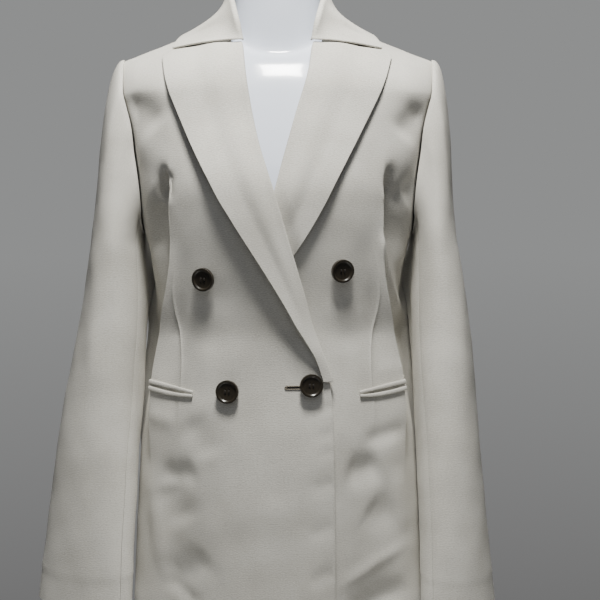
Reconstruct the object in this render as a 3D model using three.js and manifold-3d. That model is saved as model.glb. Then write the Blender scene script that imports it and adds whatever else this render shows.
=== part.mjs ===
// A double breasted blazer of ivory crepe on a white torso dress form with a low round stand.
//
// Millimetres, +Z up, the front faces -Y, and +X is the viewer's right. The origin is the centre of the
// stand's underside. The wearer's right front, on the viewer's left, closes over the other front.
// Every cloth panel is a thin wall worked out from one body surface: level sections round the torso up
// to the chest, and above it strings that run over each shoulder to its seam.

import * as THREE from "three";
import Module from "manifold-3d";
import { mergeVertices } from "three/addons/utils/BufferGeometryUtils.js";

const wasm = await Module();
wasm.setup();

// Driving sizes
const CLOTH = 2; // the thickness of every cloth wall
const SEAM_GAP = 0.3; // between two pieces that are sewn together
const HEM_Z = 110;
const BREAK_Z = 440; // where the lapel's roll starts, level with the lower buttons
const CHEST_Z = 755; // where the strings over the shoulder start in front
const BLADE_Z = 745; // and where they start at the back
const STRING_SPAN = 80; // how much height coordinate a whole string takes
const SHOULDER = { tipX: 177, tipZ: 796, slope: 0.385, tipY: 5, neckY: 12 };
const NECK = { x: 65, backY: 62, backDrop: 3 };
const UNDERARM_Z = 606;
const SIDE_SEAM_Z = 625; // top of the two seams of the side panel
const OVERLAP_LIFT = { belowBreak: 2.9, underLapel: 6.4 }; // how far the upper front stands proud
const LAPEL_GAP = 0.8; // under the lapel along its roll
const BUTTON = { radius: 12.6, thickness: 4.2, rim: 2, shankRadius: 3, shank: 2.2, holeRadius: 1.1 };
const STAND = { radius: 150, thickness: 10, poleRadius: 12.5, segments: 32 };
const FORM_GAP = 0.9; // between the form's shoulders and the cloth that rests on them

// Level sections of the worn garment: half its width, its depth in front and behind, and how square
// the oval is (2 is an ellipse).
const BODY = [
  { z: 110, halfWidth: 172, front: 117, back: 117, round: 2.4 },
  { z: 180, halfWidth: 169, front: 116, back: 117, round: 2.4 },
  { z: 250, halfWidth: 165, front: 114, back: 115, round: 2.4 },
  { z: 350, halfWidth: 157, front: 110, back: 110, round: 2.4 },
  { z: 400, halfWidth: 150, front: 107, back: 102, round: 2.4 },
  { z: 440, halfWidth: 142, front: 105, back: 93, round: 2.4 },
  { z: 490, halfWidth: 133, front: 104, back: 82, round: 2.4 },
  { z: 520, halfWidth: 137, front: 106, back: 80, round: 2.4 },
  { z: 566, halfWidth: 145, front: 111, back: 83, round: 2.4 },
  { z: 600, halfWidth: 151, front: 114, back: 87, round: 2.4 },
  { z: 625, halfWidth: 157, front: 115, back: 90, round: 2.4 },
  { z: 655, halfWidth: 162, front: 113, back: 93, round: 2.4 },
  { z: 700, halfWidth: 168, front: 108, back: 95, round: 2.4 },
  { z: 755, halfWidth: 184, front: 97, back: 92, round: 2.4 },
];

// Lines across the front panel, as angles round the body from the front centre, in degrees: the dart,
// the crease that flares from the bust to the pocket and how far it stands out, and the two seams of
// the side panel.
const FRONT_LINES = [
  { z: 110, dart: 38, crease: 58, stand: 0, dartDepth: 0, frontSeam: 72, backSeam: 112 },
  { z: 330, dart: 40, crease: 61, stand: 0, dartDepth: 0, frontSeam: 74, backSeam: 111 },
  { z: 380, dart: 42, crease: 63, stand: 5, dartDepth: 0, frontSeam: 77, backSeam: 110 },
  { z: 425, dart: 43, crease: 64, stand: 12, dartDepth: 0.8, frontSeam: 79, backSeam: 110 },
  { z: 455, dart: 43, crease: 64, stand: 15, dartDepth: 1.8, frontSeam: 79, backSeam: 110 },
  { z: 500, dart: 48, crease: 64, stand: 14, dartDepth: 1.8, frontSeam: 79, backSeam: 110 },
  { z: 525, dart: 47, crease: 62, stand: 10, dartDepth: 1.5, frontSeam: 78, backSeam: 110 },
  { z: 550, dart: 45, crease: 59, stand: 7, dartDepth: 1, frontSeam: 77, backSeam: 110 },
  { z: 575, dart: 42, crease: 53, stand: 4, dartDepth: 0.4, frontSeam: 76, backSeam: 111 },
  { z: 600, dart: 38, crease: 47, stand: 2, dartDepth: 0, frontSeam: 75.5, backSeam: 111 },
  { z: 650, dart: 33, crease: 43, stand: 0, dartDepth: 0, frontSeam: 72, backSeam: 112 },
  { z: 700, dart: 31, crease: 41, stand: 0, dartDepth: 0, frontSeam: 70, backSeam: 112 },
  { z: 755, dart: 28, crease: 37, stand: 0, dartDepth: 0, frontSeam: 66, backSeam: 112 },
];

// The armhole's edge, as the distance from the centre plane.
const ARMHOLE = [
  { z: 625, front: 151.9, back: 147.8 },
  { z: 655, front: 153.5, back: 151 },
  { z: 691, front: 157.5, back: 156 },
  { z: 717, front: 161, back: 161 },
  { z: 745, front: 168, back: 168 },
  { z: 755, front: 171, back: 170 },
];

// The roll line where each front folds over into its lapel, on its own side of the centre plane, and
// below the break the front edge. A minus sign is past the centre.
const ROLL = [
  { z: 110, upper: -64, under: -72 },
  { z: 260, upper: -63, under: -72 },
  { z: 400, upper: -60, under: -72 },
  { z: 440, upper: -56, under: -70 },
  { z: 493, upper: -38, under: -50 },
  { z: 538, upper: -26, under: -34 },
  { z: 596, upper: -9, under: -14 },
  { z: 640, upper: 4, under: 0 },
  { z: 667, upper: 13, under: 7 },
  { z: 700, upper: 23, under: 16 },
  { z: 735, upper: 31, under: 26 },
  { z: 776, upper: 38, under: 38 },
  { z: 810, upper: 42, under: 43 },
  { z: 838, upper: 47, under: 48 },
];

// The lapel's outer edge from the break to its peak.
const LAPEL_EDGE = [
  { z: 440, x: -54 },
  { z: 456, x: -47 },
  { z: 472, x: -38 },
  { z: 494, x: -25 },
  { z: 532, x: -4 },
  { z: 575, x: 22 },
  { z: 618, x: 48 },
  { z: 660, x: 71 },
  { z: 704, x: 93 },
  { z: 742, x: 110 },
  { z: 768, x: 120 },
  { z: 795, x: 126 },
];
const LAPEL_TOP = { rollZ: 810, peakZ: 795.5, gorgeRise: 5.2 };
const GORGE_END = 0.88; // where the gorge ends and the peak's own edge starts

// Sections of each sleeve from the upper arm down: its centre, half sizes and how far the flat of it
// turns to face forward, in degrees.
const SLEEVES = {
  right: [
    { z: 590, x: 183.5, y: 0, halfWidth: 30, halfDepth: 68, turn: 0 },
    { z: 519, x: 187, y: -6, halfWidth: 37, halfDepth: 62, turn: 2 },
    { z: 454, x: 194, y: -16, halfWidth: 42, halfDepth: 54, turn: 6 },
    { z: 411, x: 199, y: -23, halfWidth: 46, halfDepth: 48, turn: 10 },
    { z: 353, x: 205, y: -33, halfWidth: 49, halfDepth: 41, turn: 15 },
    { z: 296, x: 210, y: -41, halfWidth: 54, halfDepth: 35, turn: 20 },
    { z: 250, x: 214, y: -46, halfWidth: 57, halfDepth: 31, turn: 23 },
    { z: 188, x: 219, y: -51, halfWidth: 62, halfDepth: 27, turn: 25 },
  ],
  left: [
    { z: 590, x: 179, y: 0, halfWidth: 25.5, halfDepth: 68, turn: 0 },
    { z: 519, x: 184, y: -7, halfWidth: 32, halfDepth: 64, turn: 2 },
    { z: 458, x: 187.5, y: -18, halfWidth: 35, halfDepth: 59, turn: 6 },
    { z: 401, x: 190.5, y: -29, halfWidth: 36, halfDepth: 54, turn: 11 },
    { z: 348, x: 193.5, y: -39, halfWidth: 37, halfDepth: 50, turn: 16 },
    { z: 294, x: 197, y: -48, halfWidth: 40, halfDepth: 45, turn: 20 },
    { z: 241, x: 200, y: -55, halfWidth: 43, halfDepth: 41, turn: 23 },
    { z: 188, x: 203.5, y: -60, halfWidth: 47, halfDepth: 37, turn: 25 },
  ],
};
const CUFF_DIP = 7; // the cuff is this much lower at the front than behind

// The collar from the gorge round to the centre back: its fold, the hollow of its fall and its edge.
// A point with no y lies on the body.
const COLLAR = [
  { fold: { x: 40, z: 810.3 }, hollow: { x: 78, z: 806.2 }, edge: { x: 115, z: 802.8 } },
  { fold: { x: 46.5, z: 838, y: -58 }, hollow: { x: 72, z: 824 }, edge: { x: 113, z: 811 } },
  { fold: { x: 53, z: 862, y: -28 }, hollow: { x: 70, z: 842, y: -27 }, edge: { x: 109, z: 818 } },
  { fold: { x: 56.5, z: 873, y: 6 }, hollow: { x: 72.5, z: 846, y: 8 }, edge: { x: 104, z: 826.9, y: 11 } },
  { fold: { x: 50, z: 876, y: 37 }, hollow: { x: 64, z: 850, y: 46 }, edge: { x: 88, z: 823 } },
  { fold: { x: 28, z: 878, y: 58 }, hollow: { x: 37, z: 856, y: 69 }, edge: { x: 46, z: 823 } },
  { fold: { x: 0, z: 879, y: 65 }, hollow: { x: 0, z: 857, y: 76 }, edge: { x: 0, z: 822 } },
];
const NECK_SEAM = { start: 0.74, out: 1.5, rise: 1.1, backX: [57, 31, 0] }; // the foot of the collar's stand

// The dress form's level sections up to the chest, its neck above the collar, and how far out its
// columns meet the shoulder line. Those up to the neck's half width run on into the neck.
const FORM = [
  { z: 205, halfWidth: 112, front: 74, back: 76 },
  { z: 209, halfWidth: 124, front: 82, back: 84 },
  { z: 222, halfWidth: 132, front: 87, back: 89 },
  { z: 260, halfWidth: 137, front: 88, back: 91 },
  { z: 320, halfWidth: 138, front: 87, back: 91 },
  { z: 390, halfWidth: 129, front: 84, back: 83 },
  { z: 450, halfWidth: 113, front: 81, back: 66 },
  { z: 500, halfWidth: 110, front: 80, back: 60 },
  { z: 560, halfWidth: 122, front: 90, back: 64 },
  { z: 610, halfWidth: 133, front: 99, back: 71 },
  { z: 655, halfWidth: 140, front: 98, back: 76 },
  { z: 700, halfWidth: 147, front: 90, back: 78 },
  { z: 740, halfWidth: 154, front: 80, back: 76 },
];
const FORM_NECK = [
  { z: 850, halfWidth: 52, front: 47, back: 48 },
  { z: 872, halfWidth: 50, front: 46, back: 48 },
  { z: 912, halfWidth: 49.5, front: 46, back: 48 },
  { z: 926, halfWidth: 47, front: 44, back: 46 },
  { z: 932, halfWidth: 40, front: 37, back: 39 },
];
const FORM_COLUMNS = [0, 21, 40, 53, 58, 82, 110, 140, 166];
const FORM_BASE = { halfWidth: 58, centreY: 11, front: 52, back: 44, frontDrop: 38, backDrop: 8 };

const BUTTONS = [
  { name: "button_upper_right", front: "upper", x: 78, z: 554 },
  { name: "button_lower_right", front: "upper", x: 53, z: 432 },
  { name: "button_lower_left", front: "upper", x: -37, z: 439 },
  { name: "button_upper_left", front: "under", x: 70, z: 563 },
];
const POCKETS = { inner: 90, innerZ: 427, outerZ: 436, jetHeight: 5.6, jetGap: 0.8, jetThickness: 1.8 };

// One column of a table at a given z, on a smooth curve through its rows.
function column(table, key, z) {
  const last = table.length - 1;
  if (z <= table[0].z) return table[0][key];
  if (z >= table[last].z) return table[last][key];
  let i = 0;
  while (table[i + 1].z < z) i++;
  const slope = (a, b) => (table[b][key] - table[a][key]) / (table[b].z - table[a].z);
  const before = slope(Math.max(i - 1, 0), i + 1);
  const after = slope(i, Math.min(i + 2, last));
  const step = table[i + 1].z - table[i].z;
  const t = (z - table[i].z) / step;
  return (
    table[i][key] * (1 - 3 * t * t + 2 * t * t * t) +
    table[i + 1][key] * (3 * t * t - 2 * t * t * t) +
    before * step * (t - 2 * t * t + t * t * t) +
    after * step * (t * t * t - t * t)
  );
}

// Half a seam's gap, as an angle round the body at its sides and at the back centre.
const SEAM_ANGLE = SEAM_GAP / 2 / 112;
const CENTRE_ANGLE = 0.0003;

const lerp = THREE.MathUtils.lerp;
const radians = THREE.MathUtils.degToRad;
const smooth = (low, high, v) => THREE.MathUtils.smoothstep(v, low, high);
const bell = (v, centre, width) => Math.exp(-(((v - centre) / width) ** 2));

// The z that makes a rising function reach its target.
function solve(rising, target, low, high) {
  for (let i = 0; i < 40; i++) {
    const middle = (low + high) / 2;
    if (rising(middle) < target) low = middle;
    else high = middle;
  }
  return (low + high) / 2;
}

// The body's plain level section. The angle runs from the front centre to the back centre at pi.
function ovalPoint(angle, z) {
  const power = 2 / column(BODY, "round", z);
  const across = Math.sin(angle);
  const along = Math.cos(angle);
  const depth = column(BODY, along > 0 ? "front" : "back", z);
  return {
    x: column(BODY, "halfWidth", z) * Math.sign(across) * Math.abs(across) ** power,
    y: -depth * Math.sign(along) * Math.abs(along) ** power,
  };
}

// The angle at which a level section is x away from the centre plane, in front.
function angleAt(x, z) {
  const level = Math.min(z, CHEST_Z);
  const share = Math.min(Math.abs(x) / column(BODY, "halfWidth", level), 1);
  return Math.sign(x) * Math.asin(share ** (column(BODY, "round", level) / 2));
}

// The shoulder seam, and inside it the neckline, x away from the centre plane.
function shoulderSeam(x, behind) {
  const out = Math.abs(x);
  const neckZ = SHOULDER.tipZ + (SHOULDER.tipX - NECK.x) * SHOULDER.slope;
  if (out >= NECK.x) {
    const share = (out - NECK.x) / (SHOULDER.tipX - NECK.x);
    return { y: lerp(SHOULDER.neckY, SHOULDER.tipY, share), z: neckZ - (out - NECK.x) * SHOULDER.slope };
  }
  const round = Math.sqrt(1 - (out / NECK.x) ** 2);
  return behind
    ? { y: lerp(SHOULDER.neckY, NECK.backY, round), z: neckZ - NECK.backDrop * round }
    : { y: SHOULDER.neckY, z: neckZ + (NECK.x - out) * SHOULDER.slope };
}

// A curve that leaves a foot on a level section, leaning as the section does, and arrives level at the
// seam. Its share runs from 0 to 1.
function climb(foot, lean, seam, t) {
  const rise = seam.z - foot.z;
  const travel = 3 * t * t - 2 * t * t * t;
  const start = t - 2 * t * t + t * t * t;
  const end = t * t * t - t * t;
  return {
    y: foot.y + (seam.y - foot.y) * (travel + 1.25 * end) + lean * rise * start,
    z: foot.z + rise * (travel + 1.15 * start),
  };
}

// A point on the string that climbs from the chest, or from the blades behind, to the shoulder seam.
function stringPoint(x, share, behind) {
  const level = behind ? BLADE_Z : CHEST_Z;
  const angle = behind ? Math.PI - angleAt(x, level) : angleAt(x, level);
  const { y } = ovalPoint(angle, level);
  const lean = (y - ovalPoint(angle, level - 10).y) / 10;
  return climb({ y, z: level }, lean, shoulderSeam(x, behind), share);
}

// A height coordinate is z up to the chest, and above it the share of the string times its span.
function heightAt(x, z, behind = false) {
  const level = behind ? BLADE_Z : CHEST_Z;
  if (z <= level) return z;
  return level + STRING_SPAN * solve((t) => stringPoint(x, t, behind).z, z, 0, 1);
}

// The front and side of the plain body at an angle and height coordinate, on its own side (+x).
function plainBody(angle, height) {
  const behind = angle > Math.PI / 2;
  const level = behind ? BLADE_Z : CHEST_Z;
  if (height <= level) {
    const { x, y } = ovalPoint(angle, height);
    return new THREE.Vector3(x, y, height);
  }
  const { x } = ovalPoint(angle, level);
  const { y, z } = stringPoint(x, (height - level) / STRING_SPAN, behind);
  return new THREE.Vector3(x, y, z);
}

// The outward normal of a surface given as a function of two coordinates.
function normalOf(surface, a, b, stepA, stepB) {
  const alongA = surface(a + stepA, b).sub(surface(a - stepA, b));
  const alongB = surface(a, b + stepB).sub(surface(a, b - stepB));
  return alongA.cross(alongB).normalize();
}
const bodyNormal = (angle, height) => normalOf(plainBody, angle, height, 0.004, 0.4);

// How far the cloth stands off the plain body: the flaring crease and the dart beside it, the hollow
// and dimple that drape in front of the armhole, and slow waves that deepen towards the hem.
function folds(angle, height) {
  const turn = THREE.MathUtils.radToDeg(Math.abs(angle));
  const off = turn - column(FRONT_LINES, "crease", height);
  const rise = off < 0 ? Math.max(0, 1 + off / 17) ** 1.2 : Math.max(0, 1 - off / 13) ** 1.2;
  const dart = bell(turn, column(FRONT_LINES, "dart", height), 4);
  const dimple = bell(turn, 50, 7) * bell(height, 652, 24);
  const hollow = bell(turn, 55, 9) * bell(height, 735, 20);
  const swell = bell(turn, 56, 10) * bell(height, 698, 18);
  const skirt = (1 - smooth(HEM_Z, 400, height)) * Math.sin(radians(turn * 7.2 + 40));
  return (
    column(FRONT_LINES, "stand", height) * rise -
    column(FRONT_LINES, "dartDepth", height) * dart -
    6 * dimple -
    2.5 * hollow +
    2 * swell +
    2.2 * skirt
  );
}

// The garment's outer face, with its folds, lifted further by a number or by a function of x and z.
function garment(angle, height, lift = 0) {
  const point = plainBody(angle, height);
  const extra = typeof lift === "function" ? lift(point.x, point.z) : lift;
  return point.addScaledVector(bodyNormal(angle, height), folds(angle, height) + extra);
}

// How far each front is lifted where it crosses the other and its lapel.
const frontLift = {
  under: () => 0,
  upper: (x, z) => {
    const most = lerp(OVERLAP_LIFT.belowBreak, OVERLAP_LIFT.underLapel, smooth(422, 480, z));
    return most * (1 - smooth(72, 140, x)) * (1 - smooth(655, 740, z));
  },
};

// A wall of cloth: its outer face is given over a grid, and its inner face lies the thickness below.
function wall(surface, grid, { thickness = CLOTH, steps = [0.003, 0.4] } = {}) {
  const rows = grid.length;
  const columns = grid[0].length;
  const outer = [];
  const inner = [];
  for (const row of grid) {
    for (const [a, b] of row) {
      const point = surface(a, b);
      const normal = normalOf(surface, a, b, ...steps);
      outer.push(point);
      inner.push(point.clone().addScaledVector(normal, -thickness));
    }
  }
  return closedShell(outer, inner, rows, columns);
}

// Joins an outer and an inner grid of points into one closed shell.
function closedShell(outer, inner, rows, columns) {
  const points = [...outer, ...inner];
  const half = outer.length;
  const [top, end] = [rows - 1, columns - 1];
  const at = (i, j) => i * columns + j;
  const faces = [];
  const quad = (a, b, c, d) => faces.push(a, b, c, a, c, d);
  for (let i = 0; i < top; i++) {
    for (let j = 0; j < end; j++) {
      quad(at(i, j), at(i, j + 1), at(i + 1, j + 1), at(i + 1, j));
      quad(half + at(i, j), half + at(i + 1, j), half + at(i + 1, j + 1), half + at(i, j + 1));
    }
    quad(at(i, 0), at(i + 1, 0), half + at(i + 1, 0), half + at(i, 0));
    quad(at(i, end), half + at(i, end), half + at(i + 1, end), at(i + 1, end));
  }
  for (let j = 0; j < end; j++) {
    quad(at(0, j), half + at(0, j), half + at(0, j + 1), at(0, j + 1));
    quad(at(top, j), at(top, j + 1), half + at(top, j + 1), half + at(top, j));
  }
  return meshOf(points, faces);
}

// A geometry from points and triangles, turned to face outwards.
function meshOf(points, faces) {
  let volume = 0;
  for (let i = 0; i < faces.length; i += 3) {
    const [a, b, c] = faces.slice(i, i + 3).map((n) => points[n]);
    volume += a.dot(b.clone().cross(c));
  }
  if (volume < 0) faces.reverse();
  const geometry = new THREE.BufferGeometry().setFromPoints(points);
  geometry.setIndex(faces);
  geometry.computeVertexNormals();
  return geometry;
}

// The same geometry on the other side of the centre plane.
function mirrored(geometry) {
  const copy = geometry.clone().applyMatrix4(new THREE.Matrix4().makeScale(-1, 1, 1));
  copy.index.array.reverse();
  copy.computeVertexNormals();
  return copy;
}

// Evenly spaced numbers from one end to the other, both included.
const spaced = (from, to, count) => Array.from({ length: count + 1 }, (_, i) => lerp(from, to, i / count));

const LOW_ROWS = [110, 165, 220, 275, 325, 365, 400, 422, 440, 466, 493, 516, 540, 566, 596, 625];
const CHEST_ROWS = [655, 680, 705, 730, 755];
const STRING_SHARES = [0.2, 0.45, 0.7, 0.88, 1];

// A front panel from its edge or roll line to the side seam and armhole.
function frontPanel(side) {
  const strings = STRING_SHARES.map((share) => CHEST_Z + STRING_SPAN * share);
  const grid = [...LOW_ROWS, ...CHEST_ROWS, ...strings].map((height) => {
    const level = Math.min(height, CHEST_Z);
    const string = Math.max(0, (height - CHEST_Z) / STRING_SPAN);
    const reach = Math.min(string, 1);
    const rollX = lerp(column(ROLL, side, level), NECK.x + 0.5, reach);
    const armX = lerp(column(ARMHOLE, "front", level), SHOULDER.tipX, reach);
    const seam = radians(column(FRONT_LINES, "frontSeam", height)) - SEAM_ANGLE;
    const outer = height > SIDE_SEAM_Z ? angleAt(armX, level) : seam;
    const inner = angleAt(rollX, level);
    const dart = Math.max(radians(column(FRONT_LINES, "dart", height)), lerp(inner, outer, 0.3));
    const crease = Math.max(radians(column(FRONT_LINES, "crease", height)), lerp(inner, outer, 0.5));
    // Below the break both fronts have their columns in the same places, so that they lie parallel.
    const lap = [-36, 0, 36, 72].map((x) => angleAt(x, height));
    const middle = height <= BREAK_Z ? [inner, ...lap, dart] : spaced(inner, dart, 5);
    const angles = [...middle, ...spaced(dart, crease, 2).slice(1), ...spaced(crease, outer, 3).slice(1)];
    return angles.map((angle) => [angle, Math.min(height, CHEST_Z + STRING_SPAN - SEAM_GAP * 1.3)]);
  });
  return wall((angle, height) => garment(angle, height, frontLift[side]), grid);
}

// The side panel dips under the arm: its top edge is a curve that ends at the two seams.
function sidePanel() {
  const flat = LOW_ROWS[LOW_ROWS.length - 3];
  const grid = LOW_ROWS.map((row) => {
    const from = radians(column(FRONT_LINES, "frontSeam", row)) + SEAM_ANGLE;
    const to = radians(column(FRONT_LINES, "backSeam", row)) - SEAM_ANGLE;
    const middle = (Math.PI / 2 - from) / (to - from);
    const share = Math.max(0, row - flat) / (SIDE_SEAM_Z - flat);
    return spaced(0, 1, 5).map((along) => {
      const out = along < middle ? 1 - along / middle : (along - middle) / (1 - middle);
      return [lerp(from, to, along), row - share * (SIDE_SEAM_Z - UNDERARM_Z) * (1 - out * out)];
    });
  });
  return wall(garment, grid);
}

function backPanel() {
  const strings = STRING_SHARES.map((share) => BLADE_Z + STRING_SPAN * share);
  const rows = [...LOW_ROWS, 655, 685, 715, 745, ...strings];
  const grid = rows.map((height) => {
    const level = Math.min(height, BLADE_Z);
    const string = Math.min(Math.max(0, (height - BLADE_Z) / STRING_SPAN), 1);
    const armX = lerp(column(ARMHOLE, "back", level), SHOULDER.tipX, string);
    const seam = radians(column(FRONT_LINES, "backSeam", height)) + SEAM_ANGLE;
    const outer = height > SIDE_SEAM_Z ? Math.PI - backAngleAt(armX, level) : seam;
    const centre = Math.PI - CENTRE_ANGLE;
    const neck = Math.PI - backAngleAt(lerp(48, NECK.x, string), level);
    const angles = [...spaced(outer, neck, 4), ...spaced(neck, centre, 2).slice(1)];
    return angles.map((angle) => [angle, Math.min(height, BLADE_Z + STRING_SPAN - SEAM_GAP * 1.3)]);
  });
  return wall(garment, grid);
}

// The angle from the back centre at which a level section is x away from the centre plane.
function backAngleAt(x, z) {
  const share = Math.min(Math.abs(x) / column(BODY, "halfWidth", z), 1);
  return Math.asin(share ** (column(BODY, "round", z) / 2));
}

// The armhole's edge at a height, in front or behind, from the shoulder tip to under the arm.
function armholePoint(z, behind) {
  const level = behind ? BLADE_Z : CHEST_Z;
  const key = behind ? "back" : "front";
  const place = (x, at) => (behind ? Math.PI - backAngleAt(x, at) : angleAt(x, at));
  if (z > level) {
    const edgeX = (share) => lerp(column(ARMHOLE, key, level), SHOULDER.tipX, share);
    const share = solve((t) => stringPoint(edgeX(t), t, behind).z, z, 0, 1);
    return garment(place(edgeX(share), level), level + STRING_SPAN * share);
  }
  if (z > SIDE_SEAM_Z) return garment(place(column(ARMHOLE, key, z), z), z);
  const seam = radians(column(FRONT_LINES, key + "Seam", SIDE_SEAM_Z));
  const share = Math.sqrt(Math.max(0, (z - UNDERARM_Z) / (SIDE_SEAM_Z - UNDERARM_Z)));
  return garment(Math.PI / 2 + (seam - Math.PI / 2) * share, z);
}

// A sleeve's outer face. Its first coordinate goes once round, from the shoulder to the front, the
// underarm and the back. Its second is 0 at the armhole, 1 at the upper arm and 2 at the cuff.
function sleeveSurface(side) {
  const table = [...SLEEVES[side]].reverse();
  const top = SLEEVES[side][0].z;
  const cuff = table[0].z;
  const ring = (round, z) => {
    const part = (key) => column(table, key, z);
    const out = part("halfWidth") * Math.cos(2 * Math.PI * round);
    const forward = part("halfDepth") * Math.sin(2 * Math.PI * round);
    const turn = radians(part("turn"));
    return new THREE.Vector3(
      part("x") + out * Math.cos(turn) + forward * Math.sin(turn) * 0.5,
      part("y") - forward * Math.cos(turn) + out * Math.sin(turn),
      z,
    );
  };
  const armTable = (round) => {
    const way = ((round % 1) + 1) % 1;
    const behind = way > 0.5;
    const share = behind ? 2 - way * 2 : way * 2;
    const middle = (SHOULDER.tipZ + UNDERARM_Z) / 2;
    const half = (SHOULDER.tipZ - UNDERARM_Z) / 2;
    return armholePoint(middle + half * Math.cos(Math.PI * share) - 0.01, behind);
  };
  return (round, down) => {
    if (down >= 1) {
      const z = lerp(top, cuff, down - 1);
      const dip = CUFF_DIP * smooth(1.8, 2, down) * Math.sin(2 * Math.PI * round);
      const point = ring(round, z);
      point.z -= dip;
      return point;
    }
    const start = armTable(round);
    start.x += 1.1;
    const end = ring(round, top);
    const drop = start.z - end.z;
    const t = Math.max(down, 0);
    const outer = (1 + Math.cos(2 * Math.PI * round)) / 2;
    const leave = new THREE.Vector3(3 + 0.2 * drop, (end.y - start.y) * 0.9, -0.1 * drop);
    const arrive = new THREE.Vector3(0.14 * drop * outer, (end.y - start.y) * 0.2, -1.06 * drop);
    const point = start.clone().addScaledVector(end.clone().sub(start), 3 * t * t - 2 * t * t * t);
    point.addScaledVector(leave, t - 2 * t * t + t * t * t);
    point.addScaledVector(arrive, t * t * t - t * t);
    return point;
  };
}

// Where the two pieces of a sleeve meet, as shares of the way round.
const SLEEVE_SEAMS = { front: 0.41, back: 0.72 };
const SLEEVE_ROWS = [0, 0.12, 0.26, 0.42, 0.6, 0.8, 1, 1.12, 1.25, 1.38, 1.51, 1.64, 1.76, 1.88, 2];

function sleevePiece(side, from, to, columns) {
  const surface = sleeveSurface(side);
  const gap = SEAM_GAP / 2 / 180;
  const rounds = spaced(from + gap, to - gap, columns);
  const grid = SLEEVE_ROWS.map((down) => rounds.map((round) => [round, down]));
  return wall(surface, grid, { steps: [0.002, 0.002] });
}

// A point on a front's outer face by its distance from the centre plane and its z, lifted off it.
function onFront(side, x, z, lift) {
  const height = heightAt(Math.max(x, 0), z);
  return garment(angleAt(x, z), height, (a, b) => frontLift[side](a, b) + lift);
}

// A lapel over its front: across from the roll line to the outer edge, up from the break to the gorge.
// The under one starts higher and lies flat where the upper front covers it.
function lapel(side) {
  const low = side === "under" ? 0.12 : 0;
  const surface = (across, along) => {
    const up = lerp(low, 1, along);
    const rollZ = lerp(BREAK_Z + 2, LAPEL_TOP.rollZ, up);
    const edgeZ = lerp(BREAK_Z + 2, LAPEL_TOP.peakZ, up);
    const rollX = column(ROLL, side, rollZ) - 2.5;
    const edgeX = Math.max(column(LAPEL_EDGE, "x", edgeZ), rollX + 9);
    const x = lerp(rollX, edgeX, across);
    const peak = across < GORGE_END ? across / GORGE_END : (1 - across) / (1 - GORGE_END);
    const z = lerp(rollZ, edgeZ, across) + LAPEL_TOP.gorgeRise * peak * smooth(0.8, 1, up);
    const fullness = 4.5 * smooth(0, 0.25, up) * (1 - 0.5 * up);
    const belly = fullness * Math.sin(Math.PI * Math.min(across * 1.6, 1)) ** 2;
    const open = smooth(0, 0.2, up) * (1 - smooth(0.55, 1, up));
    const spring = across * (0.6 + (side === "upper" ? 3.6 : 1.4) * open);
    const covered = side === "under" ? smooth(0, 20, x + column(ROLL, "upper", z)) : 1;
    const rest = LAPEL_GAP + CLOTH + 0.9 * smooth(0.78, 0.92, up);
    return onFront(side, x, z, rest + (belly + spring) * covered);
  };
  const columns = [0, 0.2, 0.4, 0.64, GORGE_END, 1];
  const grid = spaced(0, 1, 16).map((up) => columns.map((across) => [across, up]));
  return wall(surface, grid, { steps: [0.01, 0.004] });
}

// A smooth curve through the collar's stations, gorge to gorge round the back.
function collarLine(points, lift) {
  const placed = points.map((p, i) => {
    if (p.y !== undefined) return new THREE.Vector3(p.x, p.y, p.z);
    if (i < points.length / 2) return onFront("under", p.x, p.z, lift);
    const height = heightAt(p.x, p.z, true);
    return garment(Math.PI - backAngleAt(p.x, BLADE_Z), height, lift);
  });
  const other = placed.slice(0, -1).reverse().map((p) => new THREE.Vector3(-p.x, p.y, p.z));
  return new THREE.CatmullRomCurve3([...placed, ...other], false, "centripetal");
}

// The collar's fall, from its fold down to its outer edge.
function collarFall() {
  const lines = [
    collarLine(COLLAR.map((s) => s.fold), LAPEL_GAP + CLOTH + 1.5),
    collarLine(COLLAR.map((s) => s.hollow), LAPEL_GAP + CLOTH + 2.5),
    collarLine(COLLAR.map((s) => s.edge), LAPEL_GAP + CLOTH),
  ];
  const surface = (along, down) => {
    const [fold, hollow, edge] = lines.map((line) => line.getPoint(THREE.MathUtils.clamp(along, 0, 1)));
    const middle = hollow.clone().multiplyScalar(2).sub(fold.clone().add(edge).multiplyScalar(0.5));
    return fold
      .multiplyScalar((1 - down) ** 2)
      .addScaledVector(middle, 2 * down * (1 - down))
      .addScaledVector(edge, down ** 2);
  };
  const grid = spaced(0.001, 0.999, 26).map((along) => spaced(0, 1, 4).map((down) => [along, down]));
  return wall(surface, grid, { steps: [0.001, 0.01] });
}

// The seam that joins the collar to the neck, from beside the throat to the centre back.
function neckSeam() {
  const { start, out, rise, backX } = NECK_SEAM;
  const throatX = lerp(column(ROLL, "under", CHEST_Z), NECK.x, start) + out;
  const throat = garment(angleAt(throatX, CHEST_Z), CHEST_Z + STRING_SPAN * start, SEAM_GAP + rise);
  const onTop = (x, behind) => {
    const { y, z } = shoulderSeam(x, behind);
    const place = new THREE.Vector3(x + (out * x) / NECK.x, y, z + SEAM_GAP);
    return place.add(behind ? new THREE.Vector3(0, out, 0) : new THREE.Vector3(0, 0, rise));
  };
  return [throat, onTop(NECK.x, false), ...backX.map((x) => onTop(x, true))];
}

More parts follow.
